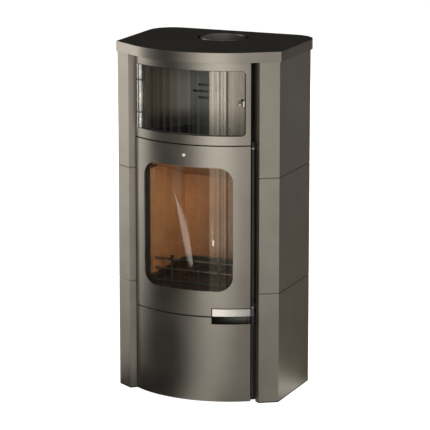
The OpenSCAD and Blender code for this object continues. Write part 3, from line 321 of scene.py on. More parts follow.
def set_studio_light():
    world = bpy.data.worlds.new("studio")
    scene.world = world
    world.use_nodes = True
    tree = world.node_tree
    tree.nodes.clear()
    way = new_node(tree, "ShaderNodeTexCoord").outputs["Generated"]
    height = axis_of(tree, way, "Z")
    degrees, turn = compass_place(tree, way)
    rays = new_node(tree, "ShaderNodeLightPath")
    light = studio_glow(tree, degrees, turn, height, rays)
    for panel_light in (soft_box_light, spot_light, streak_light):
        panel = panel_light(tree, degrees, height)
        light = new_node(tree, "ShaderNodeVectorMath", {0: light, 1: panel}, operation="ADD").outputs[0]
    studio = new_node(tree, "ShaderNodeBackground", {"Color": light, "Strength": 1.0})
    paper = new_node(tree, "ShaderNodeBackground", {"Color": (1.0, 1.0, 1.0, 1.0), "Strength": 1.0})
    seen = mixed(tree, rays.outputs["Is Camera Ray"], studio.outputs[0], paper.outputs[0])
    new_node(tree, "ShaderNodeOutputWorld", {"Surface": seen})


def add_soft_light(name, place, aim, size, power, tint):
    lamp = bpy.data.lights.new(name, "AREA")
    lamp.shape = "DISK"
    lamp.size = size
    lamp.energy = power
    lamp.color = tint
    holder = bpy.data.objects.new(name, lamp)
    holder.location = place
    holder.rotation_euler = (Vector(aim) - Vector(place)).to_track_quat("-Z", "Y").to_euler()
    holder.visible_camera = False
    holder.visible_glossy = False
    scene.collection.objects.link(holder)


# Finishes

def start_finish(name):
    made = bpy.data.materials.new(name)
    made.use_nodes = True
    tree = made.node_tree
    tree.nodes.clear()
    body = new_node(tree, "ShaderNodeBsdfPrincipled")
    new_node(tree, "ShaderNodeOutputMaterial", {"Surface": body.outputs["BSDF"]})
    place = new_node(tree, "ShaderNodeTexCoord").outputs["Object"]
    return made, tree, body, place


def set_plain(body, **values):
    """Sets plain values of a surface: metallic, roughness and specular."""
    sockets = {"metallic": "Metallic", "roughness": "Roughness", "specular": "Specular IOR Level"}
    for name, value in values.items():
        body.inputs[sockets[name]].default_value = value


def colour_by(tree, body, pattern, stops):
    """Colours a surface by a pattern. Each stop has a level of the pattern and the tone there."""
    link(tree, ramp(tree, pattern, stops), body.inputs["Base Color"])


def rough_by(tree, body, pattern, low, high):
    """Makes a surface rougher where a pattern is high."""
    link(tree, ease_between(tree, pattern, 0.3, 0.7, low, high), body.inputs["Roughness"])


def show_instead(tree, shader):
    """Shows a mixed shader in place of the plain surface."""
    link(tree, shader, tree.get_output_node("CYCLES").inputs["Surface"])


def stretched(tree, place, scale):
    return new_node(tree, "ShaderNodeMapping", {"Vector": place, "Scale": scale}).outputs["Vector"]


def raise_surface(tree, body, height, strength, distance):
    made = new_node(tree, "ShaderNodeBump", {"Height": height, "Strength": strength, "Distance": distance})
    link(tree, made.outputs["Normal"], body.inputs["Normal"])


FRONT_AXIS_Y = 0.151
FLAT_EDGE_X = -0.150
FLATNESS = 0.5


def round_normal(tree, place):
    """The direction away from the upright axis of the curved front. It turns less at the left edge, where a
    rolled sheet stays nearly flat."""
    across = axis_of(tree, place, "X")
    off_axis = calc(tree, "SUBTRACT", axis_of(tree, place, "Y"), FRONT_AXIS_Y)
    past_edge = calc(tree, "MAXIMUM", calc(tree, "SUBTRACT", FLAT_EDGE_X, across), 0.0)
    sideways = calc(tree, "MULTIPLY_ADD", past_edge, FLATNESS, across)
    flat = new_node(tree, "ShaderNodeCombineXYZ", {"X": sideways, "Y": off_axis})
    unit = new_node(tree, "ShaderNodeVectorMath", {0: flat.outputs[0]}, operation="NORMALIZE")
    turned = new_node(tree, "ShaderNodeVectorTransform", {"Vector": unit.outputs[0]}, vector_type="NORMAL",
                      convert_from="OBJECT", convert_to="WORLD")
    return turned.outputs[0]


# Strength and depth of the fine grain that most matt paints share

MATT_GRAIN = (0.25, 0.0002)


def make_sheet_paint(name, dark, light, roughness, curved=False):
    """Satin metallic paint on sheet steel: a faint cloudiness and a very fine grain of flakes."""
    made, tree, body, place = start_finish(name)
    cloud = noise(tree, place, 7.0, 3.0)
    flake = noise(tree, place, 2600.0, 1.0)
    colour_by(tree, body, blended(tree, flake, 0.35, cloud), [(0.30, dark), (0.70, light)])
    rough_by(tree, body, cloud, roughness - 0.03, roughness + 0.03)
    set_plain(body, metallic=1.0)
    if curved:
        link(tree, round_normal(tree, place), body.inputs["Normal"])
    else:
        raise_surface(tree, body, noise(tree, place, 120.0, 1.0), 0.02, 0.0001)
    return made


def make_stone(name):
    """Honed stone in the same warm grey as the steel: soft mottling, fine grain and a few pores."""
    made, tree, body, place = start_finish(name)
    mottle = noise(tree, place, 9.0, 4.0, 0.6)
    grain = noise(tree, place, 420.0, 3.0, 0.6)
    tones = [(0.32, (0.38, 0.355, 0.315)), (0.68, (0.46, 0.435, 0.39))]
    colour_by(tree, body, blended(tree, grain, 0.4, mottle), tones)
    rough_by(tree, body, grain, 0.30, 0.38)
    set_plain(body, metallic=0.94)
    pores = new_node(tree, "ShaderNodeTexVoronoi", {"Vector": place, "Scale": 260.0})
    pit = ease_between(tree, pores.outputs["Distance"], 0.05, 0.22)
    raise_surface(tree, body, calc(tree, "MULTIPLY_ADD", pit, 0.3, grain), 0.05, 0.0002)
    return made


def painted_shade_towards_foot(tree, place, paint_tone):
    """Painted shade on the walls of the compartment: darker towards their foot, along an uneven edge."""
    shade_foot, shade_top = 0.890, 0.952
    uneven = calc(tree, "MULTIPLY_ADD", noise(tree, place, 30.0, 3.0), 0.012, axis_of(tree, place, "Z"))
    return scaled(tree, paint_tone, ease_between(tree, uneven, shade_foot, shade_top, 0.16, 1.0))


def make_dark_paint(name, tone_low, tone_high, roughness, sheen=0.4, darkened_foot=False):
    """Heat-proof matt paint on inner steel. Where asked, it has painted shade towards the foot."""
    made, tree, body, place = start_finish(name)
    cloud = noise(tree, place, 14.0, 3.0)
    grain = noise(tree, place, 1400.0, 2.0)
    tone = ramp(tree, cloud, [(0.3, tone_low), (0.7, tone_high)])
    # Where asked, painted shade darkens the paint towards the foot.
    link(tree, painted_shade_towards_foot(tree, place, tone) if darkened_foot else tone, body.inputs["Base Color"])
    rough_by(tree, body, grain, roughness - 0.06, roughness + 0.06)
    set_plain(body, metallic=0.0, specular=sheen)
    raise_surface(tree, body, grain, *MATT_GRAIN)
    return made


def make_shaded_recess_paint(name):
    """Matt black inside the finger recess, with painted shade: darkest low down and away from the bar, paler
    high up and towards it.
    """
    made, tree, body, place = start_finish(name)
    # Painted shade: darkest low down and away from the bar, paler high up and towards it.
    towards_bar = ease_between(tree, axis_of(tree, place, "X"), 0.082, 0.180)
    high_up = ease_between(tree, axis_of(tree, place, "Z"), 0.266, 0.280, 0.25, 1.0)
    lit_share = product(tree, towards_bar, high_up)
    lit_share_mottled = calc(tree, "MULTIPLY_ADD", noise(tree, place, 90.0, 3.0), 0.06, lit_share)
    tones = [(0.0, (0.001, 0.001, 0.001)), (0.5, (0.030, 0.029, 0.027)), (1.0, (0.058, 0.056, 0.052))]
    colour_by(tree, body, lit_share_mottled, tones)
    set_plain(body, roughness=0.55, specular=0.10)
    raise_surface(tree, body, noise(tree, place, 1400.0, 2.0), *MATT_GRAIN)
    return made


def make_shaded_side_paint(name):
    """The grey paint on the left wall of the compartment, with painted shade: darker and browner towards the
    front, and darker towards its foot.
    """
    made, tree, body, place = start_finish(name)
    # Painted shade: darker and browner towards the front of the wall.
    inward = ease_between(tree, axis_of(tree, place, "Y"), -0.115, 0.010, -0.05, 0.95)
    far = calc(tree, "MULTIPLY_ADD", noise(tree, place, 14.0, 3.0), 0.10, inward)
    tones = [(0.0, (0.037, 0.025, 0.016)), (0.5, (0.066, 0.058, 0.048)), (1.0, (0.125, 0.122, 0.115))]
    link(tree, painted_shade_towards_foot(tree, place, ramp(tree, far, tones)), body.inputs["Base Color"])
    set_plain(body, roughness=0.6, specular=0.15)
    raise_surface(tree, body, noise(tree, place, 1400.0, 2.0), *MATT_GRAIN)
    return made


def make_vermiculite(name):
    """Pressed vermiculite board: golden brown, flaky, matt, with soot along its foot."""
    made, tree, body, place = start_finish(name)
    soot_tone = (0.22, 0.13, 0.075, 1.0)
    foot_tone = (0.020, 0.015, 0.012, 1.0)
    flakes = new_node(tree, "ShaderNodeTexVoronoi", {"Vector": place, "Scale": 330.0, "Randomness": 1.0})
    flake_tone = new_node(tree, "ShaderNodeSeparateColor", {"Color": flakes.outputs["Color"]}).outputs[0]
    cloud = noise(tree, place, 11.0, 4.0, 0.6)
    soot = noise(tree, stretched(tree, place, (3.0, 3.0, 1.0)), 6.0, 3.0)
    tones = [(0.20, (0.35, 0.158, 0.062)), (0.55, (0.46, 0.226, 0.099)), (0.85, (0.56, 0.305, 0.150))]
    dulled = new_node(tree, "ShaderNodeMix", {
        "Factor": ease_between(tree, soot, 0.52, 0.75, 0.0, 0.25),
        "A": ramp(tree, blended(tree, flake_tone, 0.28, cloud), tones),
        "B": soot_tone,
    }, data_type="RGBA")
    height = axis_of(tree, place, "Z")
    shaded = scaled(tree, dulled.outputs["Result"], ease_between(tree, height, 0.42, 0.64, 0.72, 1.0))
    edge_of_soot = calc(tree, "MULTIPLY_ADD", cloud, 0.008, height)
    darkened_foot = new_node(tree, "ShaderNodeMix", {
        "Factor": ease_between(tree, edge_of_soot, 0.394, 0.404, 0.95, 0.0),
        "A": shaded,
        "B": foot_tone,
    }, data_type="RGBA")
    link(tree, darkened_foot.outputs["Result"], body.inputs["Base Color"])
    set_plain(body, roughness=0.92)
    relief = calc(tree, "MULTIPLY_ADD", flakes.outputs["Distance"], 0.6, noise(tree, place, 160.0, 3.0))
    raise_surface(tree, body, relief, 0.35, 0.0006)
    return made


def make_cloudy_steel(name, scale, detail, stops, metallic, smoothest, roughest):
    """Steel whose tone and sheen drift in soft patches."""
    made, tree, body, place = start_finish(name)
    patches = noise(tree, place, scale, detail)
    colour_by(tree, body, patches, stops)
    set_plain(body, metallic=metallic)
    rough_by(tree, body, patches, smoothest, roughest)
    return made, tree, body, place


def make_cast_iron(name):
    """Sand-cast iron: near black and grainy."""
    tones = [(0.3, (0.018, 0.017, 0.016)), (0.7, (0.045, 0.042, 0.038))]
    made, tree, body, place = make_cloudy_steel(name, 30.0, 4.0, tones, 0.5, 0.5, 0.68)
    raise_surface(tree, body, noise(tree, place, 700.0, 3.0), 0.4, 0.0005)
    return made


def make_spigot_steel(name):
    """Blued sheet steel of the flue spigot, with a soft sheen."""
    tones = [(0.35, (0.080, 0.079, 0.078)), (0.65, (0.110, 0.107, 0.102))]
    return make_cloudy_steel(name, 14.0, 4.0, tones, 0.3, 0.30, 0.42)[0]


def make_screw_steel(name):
    """Blackened steel of the sunk screws."""
    tones = [(0.35, (0.07, 0.068, 0.065)), (0.65, (0.12, 0.118, 0.112))]
    return make_cloudy_steel(name, 300.0, 2.0, tones, 0.9, 0.26, 0.36)[0]


def make_rod_steel(name):
    """Drawn steel rod, darkened by heat in patches."""
    tones = [(0.35, (0.20, 0.195, 0.19)), (0.7, (0.40, 0.39, 0.38))]
    return make_cloudy_steel(name, 22.0, 3.0, tones, 1.0, 0.30, 0.42)[0]


def make_bright(name, tone, roughness, along, metal=1.0):
    """Brushed bright steel: fine lines along one direction, or an even fine grain."""
    made, tree, body, place = start_finish(name)
    lines = noise(tree, stretched(tree, place, along), 1.0, 3.0)
    colour_by(tree, body, lines, [(0.35, [part * 0.95 for part in tone]), (0.65, tone)])
    set_plain(body, metallic=metal)
    rough_by(tree, body, lines, roughness - 0.02, roughness + 0.03)
    return made


def make_grip_satin_with_painted_light(name):
    """Satin steel of the grip: fine lines, with painted light and shade along it: warm and pale at its free
    end, darker towards the bar, and a painted shadow at its end by the bar.
    """
    made, tree, body, place = start_finish(name)
    free_end, bar_end = 0.085, 0.205
    lines = noise(tree, stretched(tree, place, (40.0, 40.0, 1500.0)), 1.0, 2.0)
    # Painted light and shade along the grip, with a painted shadow by the bar.
    tone = ramp(tree, even_share(tree, axis_of(tree, place, "X"), free_end, bar_end), [
        (0.0, (0.96, 0.92, 0.84)), (0.25, (0.90, 0.87, 0.80)), (0.50, (0.72, 0.71, 0.67)),
        (0.75, (0.52, 0.53, 0.52)), (0.91, (0.42, 0.43, 0.43)), (0.94, (0.08, 0.08, 0.08)),
    ])
    toned = scaled(tree, tone, ease_between(tree, lines, 0.3, 0.7, 0.975, 1.0))
    link(tree, toned, body.inputs["Base Color"])
    set_plain(body, metallic=0.55)
    rough_by(tree, body, lines, 0.25, 0.28)
    return made


def make_chrome(name):
    """Polished plating over metal: a sharp reflection with a soft one under it."""
    made, tree, body, place = start_finish(name)
    sharp_part = 0.20
    cloud = noise(tree, place, 60.0, 2.0)
    body.inputs["Base Color"].default_value = (0.80, 0.80, 0.78, 1.0)
    set_plain(body, metallic=1.0)
    rough_by(tree, body, cloud, 0.30, 0.36)
    sharp = new_node(tree, "ShaderNodeBsdfPrincipled", {"Roughness": 0.0, "Metallic": 1.0})
    colour_by(tree, sharp, cloud, [(0.3, (0.84, 0.84, 0.82)), (0.7, (0.90, 0.90, 0.88))])
    show_instead(tree, mixed(tree, sharp_part, body.outputs[0], sharp.outputs[0]))
    return made


def make_zinc(name):
    """Zinc-plated steel with a faint spangle."""
    made, tree, body, place = start_finish(name)
    spangle = new_node(tree, "ShaderNodeTexVoronoi", {"Vector": place, "Scale": 190.0})
    tone = new_node(tree, "ShaderNodeSeparateColor", {"Color": spangle.outputs["Color"]}).outputs[0]
    colour_by(tree, body, tone, [(0.0, (0.36, 0.37, 0.38)), (1.0, (0.55, 0.56, 0.57))])
    set_plain(body, metallic=1.0)
    link(tree, ease_between(tree, tone, 0.0, 1.0, 0.28, 0.42), body.inputs["Roughness"])
    raise_surface(tree, body, noise(tree, place, 800.0, 2.0), 0.10, 0.0002)
    return made


def make_glass(name, mirror_tone, straight_on, haze, clear, curved=False):
    """Clear pane: a thin mirror on its faces, stronger at a slant, over glass that takes a little light."""
    made, tree, body, place = start_finish(name)
    smear = noise(tree, stretched(tree, place, (1.0, 1.0, 0.35)), 26.0, 4.0)
    body.inputs["Base Color"].default_value = (*mirror_tone, 1.0)
    set_plain(body, metallic=1.0, roughness=0.0)
    slant = new_node(tree, "ShaderNodeLayerWeight", {"Blend": 0.5}).outputs["Facing"]
    mirror = calc(tree, "MULTIPLY_ADD", calc(tree, "POWER", slant, 5.0), 1.0 - straight_on, straight_on)
    cover = calc(tree, "ADD", mirror, ease_between(tree, smear, 0.45, 0.80, 0.0, haze))
    through = new_node(tree, "ShaderNodeBsdfTransparent", {"Color": (*clear, 1.0)})
    show_instead(tree, mixed(tree, cover, through.outputs[0], body.outputs[0]))
    if curved:
        link(tree, round_normal(tree, place), body.inputs["Normal"])
    return made


def make_glass_edge(name):
    """Ground edge of the panes: dark grey-green with a soft sheen."""
    made, tree, body, place = start_finish(name)
    grain = noise(tree, place, 900.0, 2.0)
    colour_by(tree, body, grain, [(0.3, (0.050, 0.062, 0.056)), (0.7, (0.085, 0.100, 0.092))])
    rough_by(tree, body, grain, 0.25, 0.40)
    return made


def make_rope(name):
    """Knitted glass-fibre rope, dark grey."""
    made, tree, body, place = start_finish(name)
    strands = new_node(tree, "ShaderNodeTexWave", {"Vector": place, "Scale": 190.0, "Distortion": 2.0},
                       bands_direction="DIAGONAL")
    tone = blended(tree, strands.outputs["Fac"], 0.7, noise(tree, place, 1500.0, 2.0))
    colour_by(tree, body, tone, [(0.1, (0.020, 0.020, 0.020)), (0.9, (0.10, 0.098, 0.094))])
    set_plain(body, roughness=0.95)
    body.inputs["Sheen Weight"].default_value = 0.25
    raise_surface(tree, body, tone, 0.8, 0.0008)
    return made


def floor_glow(tree, place):
    """The light that the floor carries in rough reflections: the ring around, fading near the stove."""
    degrees, turn = compass_place(tree, place)
    reach = new_node(tree, "ShaderNodeVectorMath", {0: place}, operation="LENGTH").outputs["Value"]
    near_end, far_end = 0.25, 4.0
    lost_left = product(tree, ease_between(tree, degrees, -92.0, -84.0, 1.0, 0.0),
                        ease_between(tree, reach, 3.6, 7.0, 0.60, 0.0))
    lost_right = product(tree, ease_between(tree, degrees, 30.0, 42.0),
                         ease_between(tree, reach, 5.6, 7.0, 0.0, 0.58))
    in_front = product(tree, ease_between(tree, reach, near_end, far_end, 0.30, 1.0),
                       rest_of(tree, lost_left), rest_of(tree, lost_right))
    level = new_node(tree, "ShaderNodeMix", {
        "Factor": ease_between(tree, degrees, 70.0, 110.0),
        "A": in_front,
        "B": ease_between(tree, reach, near_end, far_end, 1.25, 0.98),
    }, data_type="FLOAT")
    tones = [(0.05, (1.0, 0.86, 0.72)), (0.80, (1.0, 1.02, 1.08))]
    tinted = new_node(tree, "ShaderNodeMix", {
        "Factor": ease_between(tree, degrees, 110.0, 130.0),
        "A": light_ring(tree, turn),
        "B": ramp(tree, calc(tree, "DIVIDE", reach, 5.0), tones),
    }, data_type="RGBA", blend_type="MULTIPLY")
    glow = new_node(tree, "ShaderNodeEmission", {
        "Color": tinted.outputs["Result"],
        "Strength": level.outputs["Result"],
    })
    return glow.outputs[0]


def make_floor(name):
    """Pale paper to the camera. In rough reflections it carries the light of the studio, and sharp ones look
    through it."""
    made, tree, body, place = start_finish(name)
    cloud = noise(tree, place, 1.3, 2.0)
    colour_by(tree, body, cloud, [(0.2, (0.90, 0.90, 0.90)), (0.8, (0.93, 0.93, 0.93))])
    set_plain(body, roughness=0.9, specular=0.1)
    body.inputs["Emission Color"].default_value = (1.0, 1.0, 1.0, 1.0)
    body.inputs["Emission Strength"].default_value = 0.88
    clear = new_node(tree, "ShaderNodeBsdfTransparent")
    rays = new_node(tree, "ShaderNodeLightPath")
    unseen = mixed(tree, rays.outputs["Is Singular Ray"], floor_glow(tree, place), clear.outputs[0])
    show_instead(tree, mixed(tree, rays.outputs["Is Camera Ray"], unseen, body.outputs[0]))
    return made


TAUPE = ((0.42, 0.395, 0.355), (0.48, 0.455, 0.41))
TAUPE_OF_THE_TOP = ((0.41, 0.385, 0.345), (0.47, 0.445, 0.40))
CLEAR_PANE = ((1.0, 1.0, 1.0), 0.050, 0.010, (0.965, 0.97, 0.965))
FIRE_PANE = ((1.0, 0.97, 0.93), 0.045, 0.006, (0.97, 0.955, 0.93))

FINISH = {
    "steel": make_sheet_paint("taupe_metallic_paint", *TAUPE, 0.33),
    "steel_curve": make_sheet_paint("taupe_metallic_paint_on_the_curve", *TAUPE, 0.33, curved=True),
    "top": make_sheet_paint("taupe_paint_of_the_top", *TAUPE_OF_THE_TOP, 0.33),
    "stone": make_stone("honed_warm_grey_stone"),
    "inner": make_dark_paint("black_heat_paint", (0.012, 0.012, 0.012), (0.026, 0.025, 0.024), 0.55),
    # The compartment paint carries painted shade towards the foot.
    "compartment": make_dark_paint("grey_compartment_paint", (0.064, 0.065, 0.062), (0.085, 0.086, 0.082),
                                   0.42, darkened_foot=True),
    "shaded_compartment_side": make_shaded_side_paint("brown_grey_compartment_paint"),
    "compartment_floor": make_dark_paint("black_compartment_floor", (0.004, 0.004, 0.004),
                                         (0.008, 0.008, 0.007), 0.75, sheen=0.10),
    "recess": make_shaded_recess_paint("black_recess_paint_with_painted_shade"),
    "rod": make_rod_steel("dark_rod_steel"),
    "chrome": make_chrome("polished_chrome"),
    "satin": make_bright("satin_grey_steel", (0.20, 0.20, 0.19), 0.38, (300.0, 300.0, 300.0)),
    "grip": make_grip_satin_with_painted_light("satin_grip_steel_with_painted_light"),
    "stud": make_bright("satin_stud_steel", (0.97, 0.96, 0.93), 0.30, (400.0, 400.0, 400.0), metal=0.65),
    "polished": make_bright("polished_steel", (0.88, 0.87, 0.84), 0.25, (400.0, 400.0, 400.0)),
    "spigot": make_spigot_steel("blued_spigot_steel"),
    "screw": make_screw_steel("blackened_screw_steel"),
    "lining": make_vermiculite("pressed_vermiculite"),
    "iron": make_cast_iron("cast_iron"),
    "bright": make_bright("brushed_bright_steel", (0.86, 0.84, 0.79), 0.20, (900.0, 60.0, 60.0)),
    "bright_upright": make_bright("brushed_bright_tube", (0.86, 0.85, 0.82), 0.18, (900.0, 900.0, 60.0)),
    "zinc": make_zinc("zinc_plated_steel"),
    "glass": make_glass("compartment_pane", *CLEAR_PANE),
    "fire_glass": make_glass("ceramic_fire_pane", *FIRE_PANE),
    "glass_curve": make_glass("compartment_pane_face", *CLEAR_PANE, curved=True),
    "fire_glass_curve": make_glass("ceramic_fire_pane_face", *FIRE_PANE, curved=True),
    "glass_edge": make_glass_edge("ground_pane_edge"),
    "rope": make_rope("knitted_rope"),
}

NODE_FINISH = {
    "steel": ["compartment_frame", "fire_door_skin", "log_door_skin"],
    "top": ["top_plate"],
    "stone": [
        "stone_left_lower", "stone_left_middle", "stone_left_upper",
        "stone_right_lower", "stone_right_middle", "stone_right_upper",
    ],
    "inner": [
        "base_plate", "casing", "rear_panel", "air_inlet_pipe", "front_frame", "firebox", "fire_floor",
        "air_box", "ash_pan", "ash_runners", "log_bin", "flue_spigot", "top_brackets", "door_hinge_lugs",
        "fire_door_frame", "log_door_frame", "handle_bar",
    ],
    "recess": ["finger_recess"],
    "compartment": ["compartment_liner"],
    "lining": ["lining_back", "lining_left", "lining_right", "baffle"],
    "iron": ["grate"],
    "rod": ["log_guard"],
    "bright": ["door_stud", "handle_grip", "air_knob", "knob_clamp", "glass_knob"],
    "bright_upright": ["glass_hinge_knuckles", "glass_hinge_sleeve", "glass_hinge_pin"],
    "zinc": [
        "levelling_feet", "rear_panel_screws", "air_slide_guides", "top_screws", "stone_dowels",
        "door_hinge_pins", "latch_keepers", "magnet_catch", "glass_clips", "latch_hooks", "catch_plate",
        "air_slide",
    ],
    "glass": ["compartment_glass"],
    "fire_glass": ["fire_glass"],
    "rope": ["door_rope"],
}


def paint(piece, finish):
    piece.data.materials.clear()
    piece.data.materials.append(FINISH[finish])


def paint_faces(piece, finish, belongs):
    """Adds a finish to a piece and gives it to the faces that belong to it."""
    piece.data.materials.append(FINISH[finish])
    added = len(piece.data.materials) - 1
    for face in piece.data.polygons:
        if belongs(face):
            face.material_index = added


def outwardness(face):
    """1 for a face that looks straight away from the axis of the curved front, 0 for one at its edge."""
    outward = Vector((face.center.x, face.center.y - FRONT_AXIS_Y, 0.0)).normalized()
    return face.normal.dot(outward)


def finish_cad_nodes():
    for finish, names in NODE_FINISH.items():
        for name in names:
            paint(nodes[name], finish)


# Modelling

def pick_only(piece):
    bpy.ops.object.select_all(action="DESELECT")
    piece.select_set(True)
    bpy.context.view_layer.objects.active = piece


def edit_all():
    bpy.ops.object.mode_set(mode="EDIT")
    bpy.ops.mesh.select_all(action="SELECT")


def end_edit():
    bpy.ops.object.mode_set(mode="OBJECT")


def smooth_by(angle):
    bpy.ops.object.shade_smooth_by_angle(angle=math.radians(angle))


def tidy_normals():
    bpy.ops.mesh.select_all(action="SELECT")
    bpy.ops.mesh.normals_make_consistent(inside=False)
    end_edit()


def name_it(piece, name):
    piece.name = name
    piece.data.name = name
    return piece


def settle(piece, finish, node):
    """Gives a finished form its surface and the body of the node it stands for, and hides that node. Without
    a finish it keeps its own."""
    if finish:
        paint(piece, finish)
    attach(piece, nodes[node]["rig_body"])
    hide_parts(node)
    return piece


def ease_edges(name, width, finish, sharp=30.0, steps=2):
    """A copy of a node with its edges eased, as a maker breaks them with a file."""
    piece = nodes[name].copy()
    piece.data = nodes[name].data.copy()
    name_it(piece, name + "_eased")
    scene.collection.objects.link(piece)
    piece.parent = None
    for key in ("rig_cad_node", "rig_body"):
        if key in piece:
            del piece[key]
    pick_only(piece)
    edit_all()
    bpy.ops.mesh.remove_doubles(threshold=0.00001)
    bpy.ops.mesh.dissolve_limited(angle_limit=math.radians(0.25))
    end_edit()
    smooth_by(sharp)
    edge = piece.modifiers.new("eased", "BEVEL")
    edge.width = width
    edge.segments = steps
    edge.limit_method = "ANGLE"
    edge.angle_limit = math.radians(sharp)
    edge.miter_outer = "MITER_ARC"
    bpy.ops.object.modifier_apply(modifier="eased")
    even = piece.modifiers.new("even", "WEIGHTED_NORMAL")
    even.keep_sharp = True
    even.weight = 90
    bpy.ops.object.modifier_apply(modifier="even")
    return settle(piece, finish, name)


def set_down(piece, place, turn=(0.0, 0.0, 0.0)):
    """Takes a finished form to its place and keeps it there."""
    pick_only(piece)
    piece.rotation_euler = turn
    piece.location = place
    bpy.ops.object.transform_apply(location=True, rotation=True, scale=True)
    return piece


def turn_over(piece, x=0.0, y=0.0):
    """Turns a form that stands on the origin by quarter turns about X and Y."""
    return set_down(piece, (0.0, 0.0, 0.0), (x * math.pi / 2.0, y * math.pi / 2.0, 0.0))


def joined(name, parts):
    bpy.ops.object.select_all(action="DESELECT")
    for part in parts:
        part.select_set(True)
    bpy.context.view_layer.objects.active = parts[0]
    bpy.ops.object.join()
    return name_it(parts[0], name)


def twin(piece, name):
    """Another piece of the same form with its own mesh."""
    other = piece.copy()
    other.data = piece.data.copy()
    scene.collection.objects.link(other)
    return name_it(other, name)


def put_away(*patterns):
    for pattern in patterns:
        bpy.data.objects.remove(pattern)


def turned(name, rings, sides=48):
    """A turned form standing on the origin: a disc drawn up through rings of (height, radius)."""
    bpy.ops.object.select_all(action="DESELECT")
    bpy.ops.mesh.primitive_circle_add(vertices=sides, radius=rings[0][1], fill_type="NGON",
                                      location=(0.0, 0.0, 0.0))
    piece = name_it(bpy.context.active_object, name)
    edit_all()
    bpy.ops.transform.translate(value=(0.0, 0.0, rings[0][0]))
    for (low, wide), (high, next_wide) in zip(rings, rings[1:]):
        bpy.ops.mesh.extrude_region_move(TRANSFORM_OT_translate={"value": (0.0, 0.0, high - low)})
        grow = next_wide / wide
        bpy.ops.transform.resize(value=(grow, grow, 1.0))
    tidy_normals()
    smooth_by(40.0)
    return piece


def round_ended(length, radius, ease, steps=5):
    """Rings of a straight rod whose ends are rounded by ease."""
    turns = [math.pi / 2.0 * step / steps for step in range(steps + 1)]
    low = [(ease * (1.0 - math.cos(turn)), radius - ease + ease * math.sin(turn)) for turn in turns]
    high = [(length - height, wide) for height, wide in reversed(low)]
    return low + high


def select_none(kind):
    """Leaves nothing selected in a mesh, ready for faces or edges to be picked by their place."""
    bpy.ops.object.mode_set(mode="EDIT")
    bpy.ops.mesh.select_mode(type=kind)
    bpy.ops.mesh.select_all(action="DESELECT")
    end_edit()


def pick_open_edges(piece, height):
    """Selects the edges at a height that have a face on one side only."""
    faces_at = {}
    for face in piece.data.polygons:
        for key in face.edge_keys:
            faces_at[key] = faces_at.get(key, 0) + 1
    corners = piece.data.vertices
    for edge in piece.data.edges:
        at_height = all(abs(corners[corner].co.z - height) < 0.00002 for corner in edge.vertices)
        edge.select = at_height and faces_at.get(tuple(sorted(edge.vertices)), 0) < 2


def hex_screw_head(name, radius, height, ease, socket, deep):
    """A screw head standing on the origin, with its edge eased and a six-sided socket in its top."""
    top = height + ease
    steps = 3
    eased_top = round_ended(top, radius, ease, steps)[steps + 1:]
    head = turned(name, [(0.0, radius)] + eased_top)
    select_none("FACE")
    for face in head.data.polygons:
        face.select = face.normal.z > 0.9 and face.area > radius * radius
    bpy.ops.object.mode_set(mode="EDIT")
    bpy.ops.mesh.delete(type="ONLY_FACE")
    end_edit()
    bpy.ops.object.select_all(action="DESELECT")
    bpy.ops.mesh.primitive_circle_add(vertices=6, radius=socket, fill_type="NGON",
                                      location=(0.0, 0.0, top - deep))
    well = bpy.context.active_object
    edit_all()
    bpy.ops.mesh.extrude_region_move(TRANSFORM_OT_translate={"value": (0.0, 0.0, deep)})
    bpy.ops.mesh.delete(type="ONLY_FACE")
    end_edit()
    head = joined(name, [head, well])
    select_none("EDGE")
    pick_open_edges(head, top)
    bpy.ops.object.mode_set(mode="EDIT")
    bpy.ops.mesh.bridge_edge_loops()
    tidy_normals()
    smooth_by(30.0)
    return head


def eased_block(name, size, ease):
    """A block with its middle on the origin and all its edges rounded."""
    bpy.ops.object.select_all(action="DESELECT")
    bpy.ops.mesh.primitive_cube_add(size=1.0, location=(0.0, 0.0, 0.0))
    piece = name_it(bpy.context.active_object, name)
    edit_all()
    bpy.ops.transform.resize(value=size)
    bpy.ops.mesh.bevel(offset=ease, segments=3, affect="EDGES")
    tidy_normals()
    smooth_by(40.0)
    return piece


# Eased copies of the CAD nodes

EASED_INSIDE = [
    ("casing", 0.0008, "inner"),
    ("rear_panel", 0.0004, "inner"),
    ("front_frame", 0.0008, "inner"),
    ("fire_door_frame", 0.0005, "inner"),
    ("log_door_frame", 0.0005, "inner"),
    ("base_plate", 0.0006, "inner"),
    ("lining_back", 0.0014, "lining"),
    ("baffle", 0.0014, "lining"),
    ("grate", 0.0006, "iron"),
]
SPIGOT_RIM = 1.1492

# How far a face looks out of the curved front: over the first it is its outer face, under the second its edge

OUTER_FACE = 0.97
EDGE_FACE = 0.6


def ease_cladding():
    ease_edges("top_plate", 0.0012, "top")
    for side in ("left", "right"):
        for level in ("lower", "middle", "upper"):
            ease_edges("stone_" + side + "_" + level, 0.0012, "stone")


def ease_curved_front():
    """The outer faces of the sheets and panes get the finish that shades as one true curve."""
    for name in ("compartment_frame", "fire_door_skin", "log_door_skin"):
        sheet = ease_edges(name, 0.0006, "steel")
        paint_faces(sheet, "steel_curve", lambda face: outwardness(face) > OUTER_FACE)
    panes = (("fire_glass", 0.0004, "fire_glass"), ("compartment_glass", 0.0008, "glass"))
    for name, width, finish in panes:
        pane = ease_edges(name, width, finish)
        paint_faces(pane, finish + "_curve", lambda face: outwardness(face) > OUTER_FACE)
        paint_faces(pane, "glass_edge", lambda face: abs(outwardness(face)) < EDGE_FACE)


def ease_compartment_liner():
    liner = ease_edges("compartment_liner", 0.0004, "compartment")
    # The left wall gets a copy of the compartment paint with painted shade.
    paint_faces(liner, "shaded_compartment_side", lambda face: face.normal.x > 0.5)
    paint_faces(liner, "compartment_floor", lambda face: face.normal.z > 0.9)


